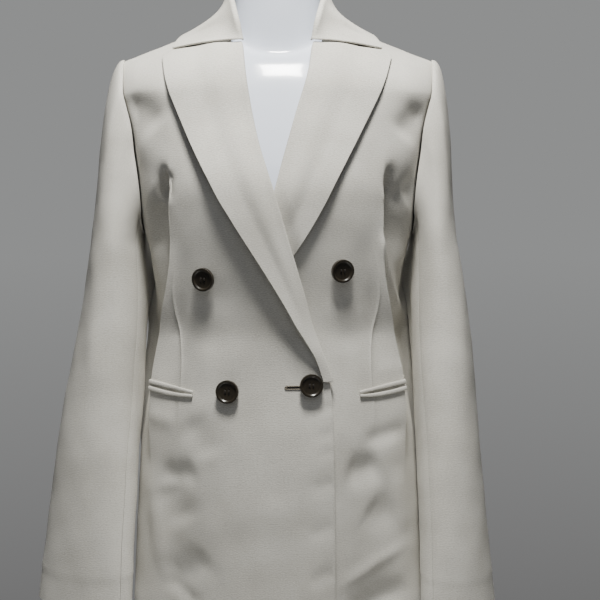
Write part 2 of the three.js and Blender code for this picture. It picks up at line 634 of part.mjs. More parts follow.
// The collar's stand, from its fold down inside to the neck seam.
function collarStand() {
  const fold = collarLine(COLLAR.slice(2).map((s) => s.fold), 0);
  const foot = collarLine(neckSeam(), 0);
  const surface = (along, down) => {
    const top = fold.getPoint(THREE.MathUtils.clamp(along, 0, 1));
    const bottom = foot.getPoint(THREE.MathUtils.clamp(along, 0, 1));
    const inward = new THREE.Vector3(-top.x, 6 - top.y, 0).normalize().multiplyScalar(CLOTH + 0.7);
    return top.add(inward).lerp(bottom, down);
  };
  const grid = spaced(0.001, 0.999, 18).map((along) => spaced(0.02, 1, 2).map((down) => [along, down]));
  return wall(surface, grid, { steps: [0.001, 0.01] });
}

// One jet of a pocket, above or below the mouth.
function pocketJet(side, above) {
  const start = angleAt(POCKETS.inner, POCKETS.innerZ);
  const dart = radians(column(FRONT_LINES, "dart", POCKETS.innerZ));
  const crease = radians(column(FRONT_LINES, "crease", POCKETS.innerZ));
  const end = radians(column(FRONT_LINES, "frontSeam", POCKETS.outerZ) - 1);
  const angles = [start, ...spaced(dart, crease, 2), ...spaced(crease, end, 3).slice(1)];
  const sign = above ? 1 : -1;
  const grid = [0, 0.5, 1].map((up) =>
    angles.map((angle) => {
      const mouth = lerp(POCKETS.innerZ, POCKETS.outerZ, (angle - start) / (end - start));
      return [angle, mouth + sign * (POCKETS.jetGap / 2 + POCKETS.jetHeight * up)];
    }),
  );
  const lift = (x, z) => frontLift[side](x, z) + 0.7 + POCKETS.jetThickness;
  return wall((angle, height) => garment(angle, height, lift), grid, { thickness: POCKETS.jetThickness });
}

// A closed mesh as a manifold solid.
function solidOf(geometry) {
  const plain = geometry.index ? geometry.toNonIndexed() : geometry.clone();
  plain.deleteAttribute("normal");
  plain.deleteAttribute("uv");
  const merged = mergeVertices(plain, 1e-4);
  return new wasm.Manifold(
    new wasm.Mesh({
      numProp: 3,
      vertProperties: merged.attributes.position.array,
      triVerts: new Uint32Array(merged.index.array),
    }),
  );
}

// A manifold solid as a geometry.
function geometryOf(solid) {
  const { vertProperties, triVerts } = solid.getMesh();
  return new THREE.BufferGeometry()
    .setAttribute("position", new THREE.BufferAttribute(vertProperties, 3))
    .setIndex(new THREE.BufferAttribute(triVerts, 1));
}

// A four-hole button with a raised rim and a thread shank behind, facing -Y about its own centre.
function buttonBlank() {
  const { radius, thickness, rim, shankRadius, shank, holeRadius } = BUTTON;
  const profile = [
    [0, 0],
    [shankRadius, 0],
    [shankRadius, shank],
    [radius * 0.72, shank + 0.4],
    [radius, shank + thickness * 0.45],
    [radius, shank + thickness * 0.8],
    [radius - 0.8, shank + thickness],
    [radius - rim, shank + thickness],
    [radius - rim - 1.4, shank + thickness * 0.68],
    [0, shank + thickness * 0.55],
  ].map(([r, h]) => new THREE.Vector2(r, h));
  let solid = solidOf(new THREE.LatheGeometry(profile, 20));
  const drill = new THREE.CylinderGeometry(holeRadius, holeRadius, 3, 6);
  for (const [across, along] of [[1, 1], [1, -1], [-1, 1], [-1, -1]]) {
    const hole = drill.clone().translate(across * 2, shank + thickness * 0.68, along * 2);
    solid = solid.subtract(solidOf(hole));
  }
  return geometryOf(solid).rotateX(Math.PI);
}

// The dress form: level rings up to the chest, then strings to its shoulder line and neck, then the
// neck's rings. In front and behind, its columns are the same distances from the centre plane.
function dressForm() {
  const tip = FORM_COLUMNS[FORM_COLUMNS.length - 1];
  const quarter = FORM_COLUMNS.map((x, i) => ({ x, i }));
  const half = [...quarter, ...quarter.slice(0, -1).reverse().map((c) => ({ ...c, behind: true }))];
  const other = half.slice(1, -1).reverse().map((c) => ({ ...c, mirror: true }));
  const ring = [...half, ...other];
  const power = 2 / 2.2;
  const onSection = ({ x, behind, mirror }, { z, halfWidth, front, back }) => {
    const angle = Math.asin((x / tip) ** (1 / power));
    const depth = Math.cos(angle) ** power * (behind ? back : -front);
    const out = (halfWidth * x) / tip;
    return new THREE.Vector3(mirror ? -out : out, SHOULDER.tipY + depth, z);
  };
  const seamOf = ({ x, behind, mirror }) => {
    const { halfWidth, centreY, front, back, frontDrop, backDrop } = FORM_BASE;
    const slope = shoulderSeam(Math.max(x, NECK.x));
    const z = slope.z + Math.max(NECK.x - x, 0) * SHOULDER.slope - CLOTH - FORM_GAP;
    const signed = mirror ? -x : x;
    if (x >= halfWidth) return new THREE.Vector3(signed, slope.y, z);
    const round = Math.sqrt(1 - (x / halfWidth) ** 2);
    const neckZ = shoulderSeam(NECK.x).z + (NECK.x - halfWidth) * SHOULDER.slope - CLOTH - FORM_GAP;
    return behind
      ? new THREE.Vector3(signed, centreY + back * round, neckZ - backDrop * round)
      : new THREE.Vector3(signed, centreY - front * round, neckZ - frontDrop * round);
  };
  const chest = FORM[FORM.length - 1];
  const below = FORM[FORM.length - 2];
  const rings = FORM.map((level) => ring.map((c) => onSection(c, level)));
  for (const share of [0.25, 0.5, 0.72, 0.88, 1]) {
    rings.push(
      ring.map((c) => {
        const foot = onSection(c, chest);
        const seam = seamOf(c);
        const lean = (foot.y - onSection(c, below).y) / (chest.z - below.z);
        const { y, z } = climb(foot, lean, seam, share);
        return new THREE.Vector3(lerp(foot.x, seam.x, share), y, z);
      }),
    );
  }
  const points = [];
  const faces = [];
  const count = ring.length;
  rings.forEach((level) => points.push(...level));
  for (let i = 0; i < rings.length - 1; i++) {
    for (let j = 0; j < count; j++) {
      const [a, b] = [i * count + j, i * count + ((j + 1) % count)];
      faces.push(a, b, b + count, a, b + count, a + count);
    }
  }
  const fan = (loop, z, flip) => {
    points.push(new THREE.Vector3(0, SHOULDER.tipY, z));
    loop.forEach((a, j) => {
      const b = loop[(j + 1) % loop.length];
      faces.push(...(flip ? [points.length - 1, b, a] : [points.length - 1, a, b]));
    });
  };
  fan(ring.map((_, j) => j), FORM[0].z, true);
  let loop = ring.flatMap((c, j) => (c.x <= FORM_BASE.halfWidth ? [(rings.length - 1) * count + j] : []));
  // The neck's own ring meets itself at the shoulder, so each pair of points there is one.
  loop = loop.filter((n) => {
    const { x, behind } = ring[n % count];
    return !(behind && x === FORM_BASE.halfWidth);
  });
  for (const level of FORM_NECK) {
    const next = loop.map((n) => {
      const base = points[n];
      const forward = (FORM_BASE.centreY - base.y) / FORM_BASE.front;
      const angle = Math.atan2(base.x / FORM_BASE.halfWidth, forward);
      const depth = Math.cos(angle) > 0 ? level.front : level.back;
      const out = level.halfWidth * Math.sin(angle);
      points.push(new THREE.Vector3(out, SHOULDER.tipY - depth * Math.cos(angle), level.z));
      return points.length - 1;
    });
    loop.forEach((a, j) => {
      const k = (j + 1) % loop.length;
      faces.push(a, loop[k], next[k], a, next[k], next[j]);
    });
    loop = next;
  }
  fan(loop, FORM_NECK[FORM_NECK.length - 1].z, false);
  return meshOf(points, faces);
}

// The stand's round base, its top edge rounded down.
function standBase() {
  const { radius, thickness, segments } = STAND;
  const profile = [
    [0, 0],
    [radius, 0],
    [radius, thickness - 4],
    [radius - 1.5, thickness - 1],
    [radius - 5, thickness],
    [0, thickness],
  ].map(([r, z]) => new THREE.Vector2(r, z));
  return new THREE.LatheGeometry(profile, segments).rotateX(Math.PI / 2);
}

function standPole() {
  const { poleRadius, thickness } = STAND;
  const length = FORM[0].z - thickness - 2 * SEAM_GAP;
  return new THREE.CylinderGeometry(poleRadius, poleRadius, length, 20)
    .rotateX(Math.PI / 2)
    .translate(0, 0, thickness + SEAM_GAP + length / 2);
}

const crepe = new THREE.MeshStandardMaterial({ color: 0xcfccc4, roughness: 0.8, metalness: 0 });
const horn = new THREE.MeshStandardMaterial({ color: 0x3a2c22, roughness: 0.3, metalness: 0 });
const gloss = new THREE.MeshStandardMaterial({ color: 0xe9edf4, roughness: 0.15, metalness: 0 });
const steel = new THREE.MeshStandardMaterial({ color: 0xc9cbce, roughness: 0.25, metalness: 1 });

const blazer = new THREE.Group();
function add(name, geometry, material) {
  const mesh = new THREE.Mesh(geometry, material);
  mesh.name = name;
  blazer.add(mesh);
  return mesh;
}

add("front_right", mirrored(frontPanel("upper")), crepe);
add("front_left", frontPanel("under"), crepe);
const side = sidePanel();
add("side_left", side, crepe);
add("side_right", mirrored(side), crepe);
const back = backPanel();
add("back_left", back, crepe);
add("back_right", mirrored(back), crepe);
add("lapel_right", mirrored(lapel("upper")), crepe);
add("lapel_left", lapel("under"), crepe);
add("collar_fall", collarFall(), crepe);
add("collar_stand", collarStand(), crepe);

for (const name of ["left", "right"]) {
  const place = name === "right" ? mirrored : (geometry) => geometry;
  const { front, back: rear } = SLEEVE_SEAMS;
  add(`top_sleeve_${name}`, place(sleevePiece(name, rear - 1, front, 13)), crepe);
  add(`under_sleeve_${name}`, place(sleevePiece(name, front, rear, 6)), crepe);
  const lap = name === "right" ? "upper" : "under";
  add(`pocket_upper_jet_${name}`, place(pocketJet(lap, true)), crepe);
  add(`pocket_lower_jet_${name}`, place(pocketJet(lap, false)), crepe);
}

// Each button stands on the cloth of its front, square to it.
for (const { name, front, x, z } of BUTTONS) {
  const cloth = blazer.getObjectByName(front === "upper" ? "front_right" : "front_left");
  const start = new THREE.Vector3(front === "upper" ? -x : x, -400, z);
  const [hit] = new THREE.Raycaster(start, new THREE.Vector3(0, 1, 0)).intersectObject(cloth);
  const button = add(name, buttonBlank(), horn);
  button.quaternion.setFromUnitVectors(new THREE.Vector3(0, -1, 0), hit.face.normal);
  button.position.copy(hit.point).addScaledVector(hit.face.normal, SEAM_GAP);
}

add("dress_form", dressForm(), gloss);
add("stand_pole", standPole(), steel);
add("stand_base", standBase(), steel);

export default blazer;
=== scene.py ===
"""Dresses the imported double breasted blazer: crepe with its drape, horn buttons, gloss form and stand.

The script's own sizes are millimetres, +Z up, the front facing -Y. A mesh is scaled to metres when it
is made. The wearer's left is at +X. Every pattern piece is worked out on the wearer's left, and the
ones of the wearer's right are mirrored at the end.
"""

import logging
from dataclasses import dataclass
from enum import Enum
from typing import Callable, Dict, List, Optional, Sequence, Tuple

import bpy
import numpy as np
from mathutils import Matrix, Vector


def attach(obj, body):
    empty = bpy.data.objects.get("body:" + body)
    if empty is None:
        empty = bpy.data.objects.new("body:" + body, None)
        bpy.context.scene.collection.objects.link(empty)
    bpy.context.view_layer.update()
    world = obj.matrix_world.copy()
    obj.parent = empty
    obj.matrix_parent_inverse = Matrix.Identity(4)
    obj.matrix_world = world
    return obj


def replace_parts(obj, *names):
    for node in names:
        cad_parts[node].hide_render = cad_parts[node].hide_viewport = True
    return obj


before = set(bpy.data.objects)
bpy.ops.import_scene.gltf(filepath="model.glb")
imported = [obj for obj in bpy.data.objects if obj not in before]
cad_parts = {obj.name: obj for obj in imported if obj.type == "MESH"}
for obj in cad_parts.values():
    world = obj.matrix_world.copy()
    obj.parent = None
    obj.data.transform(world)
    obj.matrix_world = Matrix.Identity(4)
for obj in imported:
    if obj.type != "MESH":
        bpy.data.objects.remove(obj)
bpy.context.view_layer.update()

LOG = logging.getLogger("blazer")
Array = np.ndarray
Point2 = Tuple[float, float]

MM = 0.001  # metres in a millimetre
CLOTH = 2.0  # thickness of the cloth
SEAM_GAP = 0.3  # between two pieces that are sewn together
HEM_Z = 110.0
BREAK_Z = 440.0  # where the lapel's roll starts
CHEST_Z = 755.0  # where the strings over the shoulder start in front
BLADE_Z = 745.0  # and behind
STRING_SPAN = 80.0  # height coordinate taken by a whole string
UNDERARM_Z = 606.0
SIDE_SEAM_Z = 625.0
LAPEL_GAP = 0.8  # under the lapel along its roll
FORM_PIECE = "display_form"


class Hand(Enum):
    """The wearer's left or right half of the garment."""

    LEFT = "left"
    RIGHT = "right"

    @property
    def lap(self) -> "Lap":
        """Which of the two overlapping fronts is on this half."""
        return Lap.UPPER if self is Hand.RIGHT else Lap.UNDER


class Lap(Enum):
    """The front that closes over the other, and the one below it."""

    UPPER = "upper"
    UNDER = "under"


class View(Enum):
    """The side from which a crease is seen, as (x, z) in front and behind and as (y, z) from the side.

    Its value is the axis that runs across, and the sign of the normals that face that side.
    """

    FRONT = (0, -1.0)
    BACK = (0, 1.0)
    SIDE = (1, 1.0)


def lerp(a: Array, b: Array, t: Array) -> Array:
    """The point a share t of the way from a to b."""
    return a + (b - a) * t


def smooth(low: float, high: float, value: Array) -> Array:
    """A smooth step from 0 at low to 1 at high."""
    t = np.clip((value - low) / (high - low), 0.0, 1.0)
    return t * t * (3 - 2 * t)


def bell(value: Array, centre: Array, width: float) -> Array:
    """A bell curve of height 1."""
    return np.exp(-(((value - centre) / width) ** 2))


def unit(vectors: Array) -> Array:
    """Vectors of length 1 in the same directions."""
    return vectors / np.maximum(np.linalg.norm(vectors, axis=-1, keepdims=True), 1e-9)


def steps(points: Array, axis: int) -> Array:
    """The distances between neighbours in a grid, up its columns (0) or along its rows (1)."""
    return np.linalg.norm(np.diff(points, axis=axis), axis=-1)


def run(points: Array, axis: int) -> Array:
    """The length of cloth up to each point of a grid, up its columns (0) or along its rows (1)."""
    return np.pad(np.cumsum(steps(points, axis), axis), ((1 - axis, 0), (axis, 0)))


def spread(low: float, high: float, step: float, rim: float = 1.4) -> Array:
    """Numbers from low to high, a step apart, with one more close to each end for a crisp edge.

    Args:
        low: The first number.
        high: The last number.
        step: The distance between two of them.
        rim: The distance of the extra number from its end.

    Returns:
        The numbers in order.
    """
    inner = np.linspace(low + rim, high - rim, max(2, int(round((high - low) / step))))
    return np.concatenate([[low], inner, [high]])


def shares(count: int, rim: float = 0.006) -> Array:
    """Shares from 0 to 1 with one more close to each end."""
    return np.concatenate([[0.0], np.linspace(rim, 1 - rim, count), [1.0]])


def solve(rising: Callable[[Array], Array], target: Array) -> Array:
    """The shares from 0 to 1 at which a rising function reaches its targets.

    Args:
        rising: The function.
        target: Its targets.

    Returns:
        The shares.
    """
    low, high = np.zeros_like(target), np.ones_like(target)
    for _ in range(30):
        middle = (low + high) / 2
        below = rising(middle) < target
        low, high = np.where(below, middle, low), np.where(below, high, middle)
    return (low + high) / 2


class Profile:
    """Columns of numbers against height, each read on a smooth curve through its rows."""

    def __init__(self, z: Sequence[float], **columns: Sequence[float]) -> None:
        """Keeps the rows and works out the slope at each.

        Args:
            z: The heights of the rows, rising.
            columns: A number for each row, under a name for each column.
        """
        self.z = np.array(z, float)
        self.values = {name: np.array(column, float) for name, column in columns.items()}
        last = len(self.z) - 1
        before = np.maximum(np.arange(last + 1) - 1, 0)
        after = np.minimum(np.arange(last + 1) + 1, last)
        span = self.z[after] - self.z[before]
        self.slopes = {name: (v[after] - v[before]) / span for name, v in self.values.items()}

    def at(self, name: str, height: Array) -> Array:
        """A column's value at some heights, level beyond its ends.

        Args:
            name: The column.
            height: The heights.

        Returns:
            The values.
        """
        z = np.clip(height, self.z[0], self.z[-1])
        i = np.clip(np.searchsorted(self.z, z, side="left") - 1, 0, len(self.z) - 2)
        step = self.z[i + 1] - self.z[i]
        t = (z - self.z[i]) / step
        value, slope = self.values[name], self.slopes[name]
        return (
            value[i] * (1 - 3 * t**2 + 2 * t**3)
            + value[i + 1] * (3 * t**2 - 2 * t**3)
            + slope[i] * step * (t - 2 * t**2 + t**3)
            + slope[i + 1] * step * (t**3 - t**2)
        )


@dataclass(frozen=True)
class Crease:
    """One fold or hollow in the cloth, along a line of points as seen from one side.

    depth is how far the cloth stands out along the line, and less than 0 is a hollow. width is how far
    it reaches to each side, and sharp 1 gives it a crest where 2 gives it a round top.
    """

    points: Tuple[Point2, ...]
    depth: float
    width: float
    view: View = View.FRONT
    sharp: float = 2.0
    hands: Tuple[Hand, ...] = (Hand.LEFT, Hand.RIGHT)
    fade: float = 0.3

    def lift(self, points: Array, normals: Array) -> Array:
        """How far the crease moves each point of a cloth along its normal.

        Args:
            points: Places on the cloth, on the wearer's left half.
            normals: The cloth's outward directions there.

        Returns:
            The distances.
        """
        axis, sign = self.view.value
        side = np.stack([points[..., axis], points[..., 2]], -1)
        line = np.array(self.points, float)
        lengths = np.linalg.norm(np.diff(line, axis=0), axis=1)
        starts = np.concatenate([[0.0], np.cumsum(lengths)])
        nearest = np.full(points.shape[:-1], np.inf)
        along = np.zeros(points.shape[:-1])
        for a, b, length, start in zip(line[:-1], line[1:], lengths, starts):
            t = np.clip(((side - a) @ (b - a)) / length**2, 0, 1)
            away = np.linalg.norm(side - (a + t[..., None] * (b - a)), axis=-1)
            closer = away < nearest
            nearest = np.where(closer, away, nearest)
            along = np.where(closer, (start + t * length) / starts[-1], along)
        facing = normals[..., 1 if axis == 0 else 0] * sign
        ends = smooth(-0.02, self.fade, along) * (1 - smooth(1 - self.fade, 1.02, along))
        return self.depth * np.exp(-((nearest / self.width) ** self.sharp)) * ends * smooth(0.0, 0.35, facing)


@dataclass(frozen=True)
class Swell:
    """A rounded swelling of the cloth, or a dimple where its depth is less than 0.

    across is where it lies round the body in degrees, or round a sleeve as a share of the way.
    """

    depth: float
    across: float
    width: float
    z: float
    length: float

    def lift(self, across: Array, z: Array) -> Array:
        """How far it moves each place."""
        return self.depth * bell(across, self.across, self.width) * bell(z, self.z, self.length)


ON_LEFT = (Hand.LEFT,)
ON_RIGHT = (Hand.RIGHT,)

BODY_CREASES = (
    # In front of the armholes: a hollow below the shoulder point, and the deep dimple over the bust.
    Crease(((170, 752), (150, 738), (126, 716)), -5.4, 18, hands=ON_RIGHT),
    Crease(((164, 742), (148, 726), (132, 706)), -5.0, 16, hands=ON_LEFT),
    Crease(((122, 638), (138, 648), (156, 654)), -6.0, 16, hands=ON_LEFT, fade=0.2),
    # The left ridge leans out to the sleeve.
    Crease(
        ((113, 606), (122, 566), (133, 527), (141, 503), (147, 488)),
        5.0, 4.5, sharp=1.3, hands=ON_LEFT, fade=0.2,
    ),
    Crease(((118, 672), (121, 655), (121, 636)), -5.5, 7, hands=ON_RIGHT),
    Crease(((126, 640), (133, 610), (132, 576)), -5.0, 11, hands=ON_RIGHT),
    Crease(((131, 664), (123, 652), (115, 638)), 2.4, 3.5, sharp=1.4, fade=0.2, hands=ON_LEFT),
    # Soft folds and hollows between the pocket and the hem.
    Crease(((141, 352), (137, 302), (130, 235), (127, 210)), 2.6, 9, hands=ON_RIGHT),
    Crease(((134, 339), (112, 336), (86, 344)), -4.0, 13, hands=ON_RIGHT),
    Crease(((99, 402), (84, 384), (72, 356)), -2.6, 16, hands=ON_RIGHT),
    Crease(((124, 326), (112, 300), (100, 280)), -3.2, 18, hands=ON_RIGHT),
    Crease(((124, 216), (100, 228), (74, 252)), -4.2, 17, hands=ON_RIGHT),
    Crease(((128, 220), (110, 208), (84, 190)), -2.6, 8, hands=ON_RIGHT),
    Crease(((146, 402), (128, 396), (112, 398)), 1.8, 9, hands=ON_RIGHT),
    Crease(((60, 320), (20, 300), (-30, 300)), 1.8, 26, hands=ON_RIGHT),
    Crease(((64, 210), (107, 236), (148, 256)), 2.8, 7, sharp=1.5, hands=ON_LEFT),
    Crease(((74, 178), (112, 196), (152, 206)), -5.4, 15, hands=ON_LEFT),
    Crease(((90, 373), (117, 379), (146, 386)), -2.6, 9, hands=ON_LEFT),
    Crease(((74, 346), (92, 342), (116, 350)), -5.4, 17, hands=ON_LEFT),
    Crease(((96, 300), (112, 290), (134, 296)), -3.0, 20, hands=ON_LEFT),
    Crease(((132, 345), (140, 300), (143, 262)), 2.0, 9, hands=ON_LEFT),
    # The upper front's edge, pulled into small dents.
    Crease(((-60, 415), (-46, 411)), -0.8, 5, fade=0.05, hands=ON_RIGHT),
    Crease(((-60, 386), (-46, 383)), -0.7, 5, fade=0.05, hands=ON_RIGHT),
    Crease(((-60, 366), (-46, 362)), -0.6, 5, fade=0.05, hands=ON_RIGHT),
    Crease(((-60, 334), (-40, 324)), -1.1, 9, fade=0.05, hands=ON_RIGHT),
    Crease(((-60, 284), (-38, 274)), -1.1, 9, fade=0.05, hands=ON_RIGHT),
    Crease(((-60, 234), (-38, 222)), -1.4, 8, fade=0.05, hands=ON_RIGHT),
    # Small gathers that stand on the left pocket, and the slack above the right one.
    Crease(((136, 462), (137, 446)), 0.9, 2.6, hands=ON_LEFT),
    Crease(((126, 461), (126, 445)), 0.9, 2.4, hands=ON_LEFT),
    Crease(((117, 458), (116, 444)), 0.7, 2.2, hands=ON_LEFT),
    Crease(((60, 560), (78, 520), (84, 470)), -2.0, 18),
    Crease(((140, 575), (145, 545), (148, 520)), -5.0, 9, hands=ON_LEFT),
    # Behind: drag lines from the blades, a fold at each side of the waist and slow waves in the skirt.
    Crease(((140, 700), (120, 660), (112, 600)), -3.0, 10, View.BACK),
    Crease(((104, 690), (98, 640), (92, 590)), 1.8, 9, View.BACK, hands=ON_LEFT),
    Crease(((96, 650), (90, 600), (84, 556)), 1.6, 9, View.BACK, hands=ON_RIGHT),
    Crease(((20, 512), (60, 500), (100, 508)), -2.2, 9, View.BACK, hands=ON_LEFT),
    Crease(((14, 486), (52, 478), (92, 490)), -2.4, 9, View.BACK, hands=ON_RIGHT),
    Crease(((70, 430), (76, 300), (84, 130)), 3.0, 13, View.BACK, hands=ON_LEFT, fade=0.2),
    Crease(((104, 420), (116, 300), (122, 130)), -3.2, 13, View.BACK, hands=ON_LEFT, fade=0.2),
    Crease(((58, 430), (66, 290), (70, 120)), 2.8, 14, View.BACK, hands=ON_RIGHT, fade=0.2),
    Crease(((96, 430), (104, 300), (112, 120)), -2.6, 12, View.BACK, hands=ON_RIGHT, fade=0.2),
    # At the sides, folds that fan out below the waist.
    Crease(((-20, 470), (-34, 330), (-46, 130)), 3.0, 13, View.SIDE, fade=0.2),
    Crease(((10, 480), (12, 320), (8, 130)), -2.6, 13, View.SIDE, fade=0.2),
    Crease(((34, 470), (48, 320), (52, 130)), 2.4, 12, View.SIDE, fade=0.2),
    Crease(((-30, 600), (-10, 560), (4, 510)), -2.2, 9, View.SIDE),
)

SLEEVE_CREASES = (
    # Short puckers that run out from the armhole seam.
    Crease(((168, 754), (182, 750)), -2.4, 3.6, fade=0.35, hands=ON_RIGHT),
    Crease(((166, 739), (178, 736)), -1.7, 3.2, fade=0.35, hands=ON_RIGHT),
    Crease(((163, 722), (176, 719)), -1.6, 3.4, fade=0.35, hands=ON_RIGHT),
    Crease(((161, 705), (175, 702)), -2.2, 3.6, fade=0.35, hands=ON_RIGHT),
    # Long soft folds down the arm.
    Crease(((176, 700), (186, 600), (196, 480), (204, 380)), -1.8, 9, hands=ON_RIGHT),
    Crease(((206, 560), (216, 440), (226, 330), (236, 215)), 2.0, 9, hands=ON_RIGHT),
    Crease(((186, 470), (194, 380), (200, 300)), 1.4, 8, hands=ON_RIGHT),
    Crease(((197, 560), (200, 430), (204, 310), (210, 190)), 2.2, 8, sharp=1.4, hands=ON_LEFT, fade=0.15),
    Crease(((176, 640), (180, 540), (184, 440)), -1.6, 8, hands=ON_LEFT),
    Crease(((40, 640), (28, 560), (14, 490)), -2.4, 9, View.SIDE),
    Crease(((10, 560), (-8, 470), (-34, 380)), 2.0, 9, View.SIDE, hands=ON_LEFT),
    Crease(((4, 434), (18, 426), (36, 420)), -1.8, 7, View.SIDE, hands=ON_LEFT),
    Crease(((200, 620), (204, 500), (210, 400)), -2.0, 9, View.BACK),
)


def creased(points: Array, creases: Sequence[Crease], hand: Hand, share: Array = 1.0) -> Array:
    """The same cloth with its folds and its slight unevenness.

    Args:
        points: A grid of places on the cloth, on the wearer's left half.
        creases: The folds.
        hand: The half of the garment, which picks the folds and the waves.
        share: How much of them each place gets, from 0 to 1.

    Returns:
        The moved grid.
    """
    normals = grid_normals(points)
    lift = np.zeros(points.shape[:-1])
    for crease in creases:
        if hand in crease.hands:
            lift += crease.lift(points, normals)
    x, y, z = np.moveaxis(points, -1, 0)
    # Two slight waves, which start elsewhere on each half.
    start = 0.0 if hand is Hand.LEFT else 2.1
    lift += 0.35 * np.sin(z / 21 + x / 34 + start) * np.sin(x / 19 - y / 27 + 1.3 * start)
    lift += 0.22 * np.sin(z / 9.5 - x / 15 + start) * np.sin(x / 11 + y / 13 + z / 31)
    return points + normals * (lift * share)[..., None]


def near_edge(points: Array, rows: Array, low: float, reach: float) -> Array:
    """Shares that fall to 0 at a grid's last column, on the rows above a height.

    Args:
        points: The grid.
        rows: The height coordinate of each row.
        low: The height above which the shares fall.
        reach: How far from the edge they start to fall.

    Returns:
        The shares.
    """
    away = run(points[:, ::-1], 1)[:, ::-1]
    return 1 - smooth(low, low + 30, rows)[:, None] * (1 - smooth(0, reach, away))


def grid_normals(points: Array) -> Array:
    """The outward directions over a grid of points whose columns run away from the front centre."""
    down, across = np.gradient(points, axis=0), np.gradient(points, axis=1)
    return unit(np.cross(across, down))


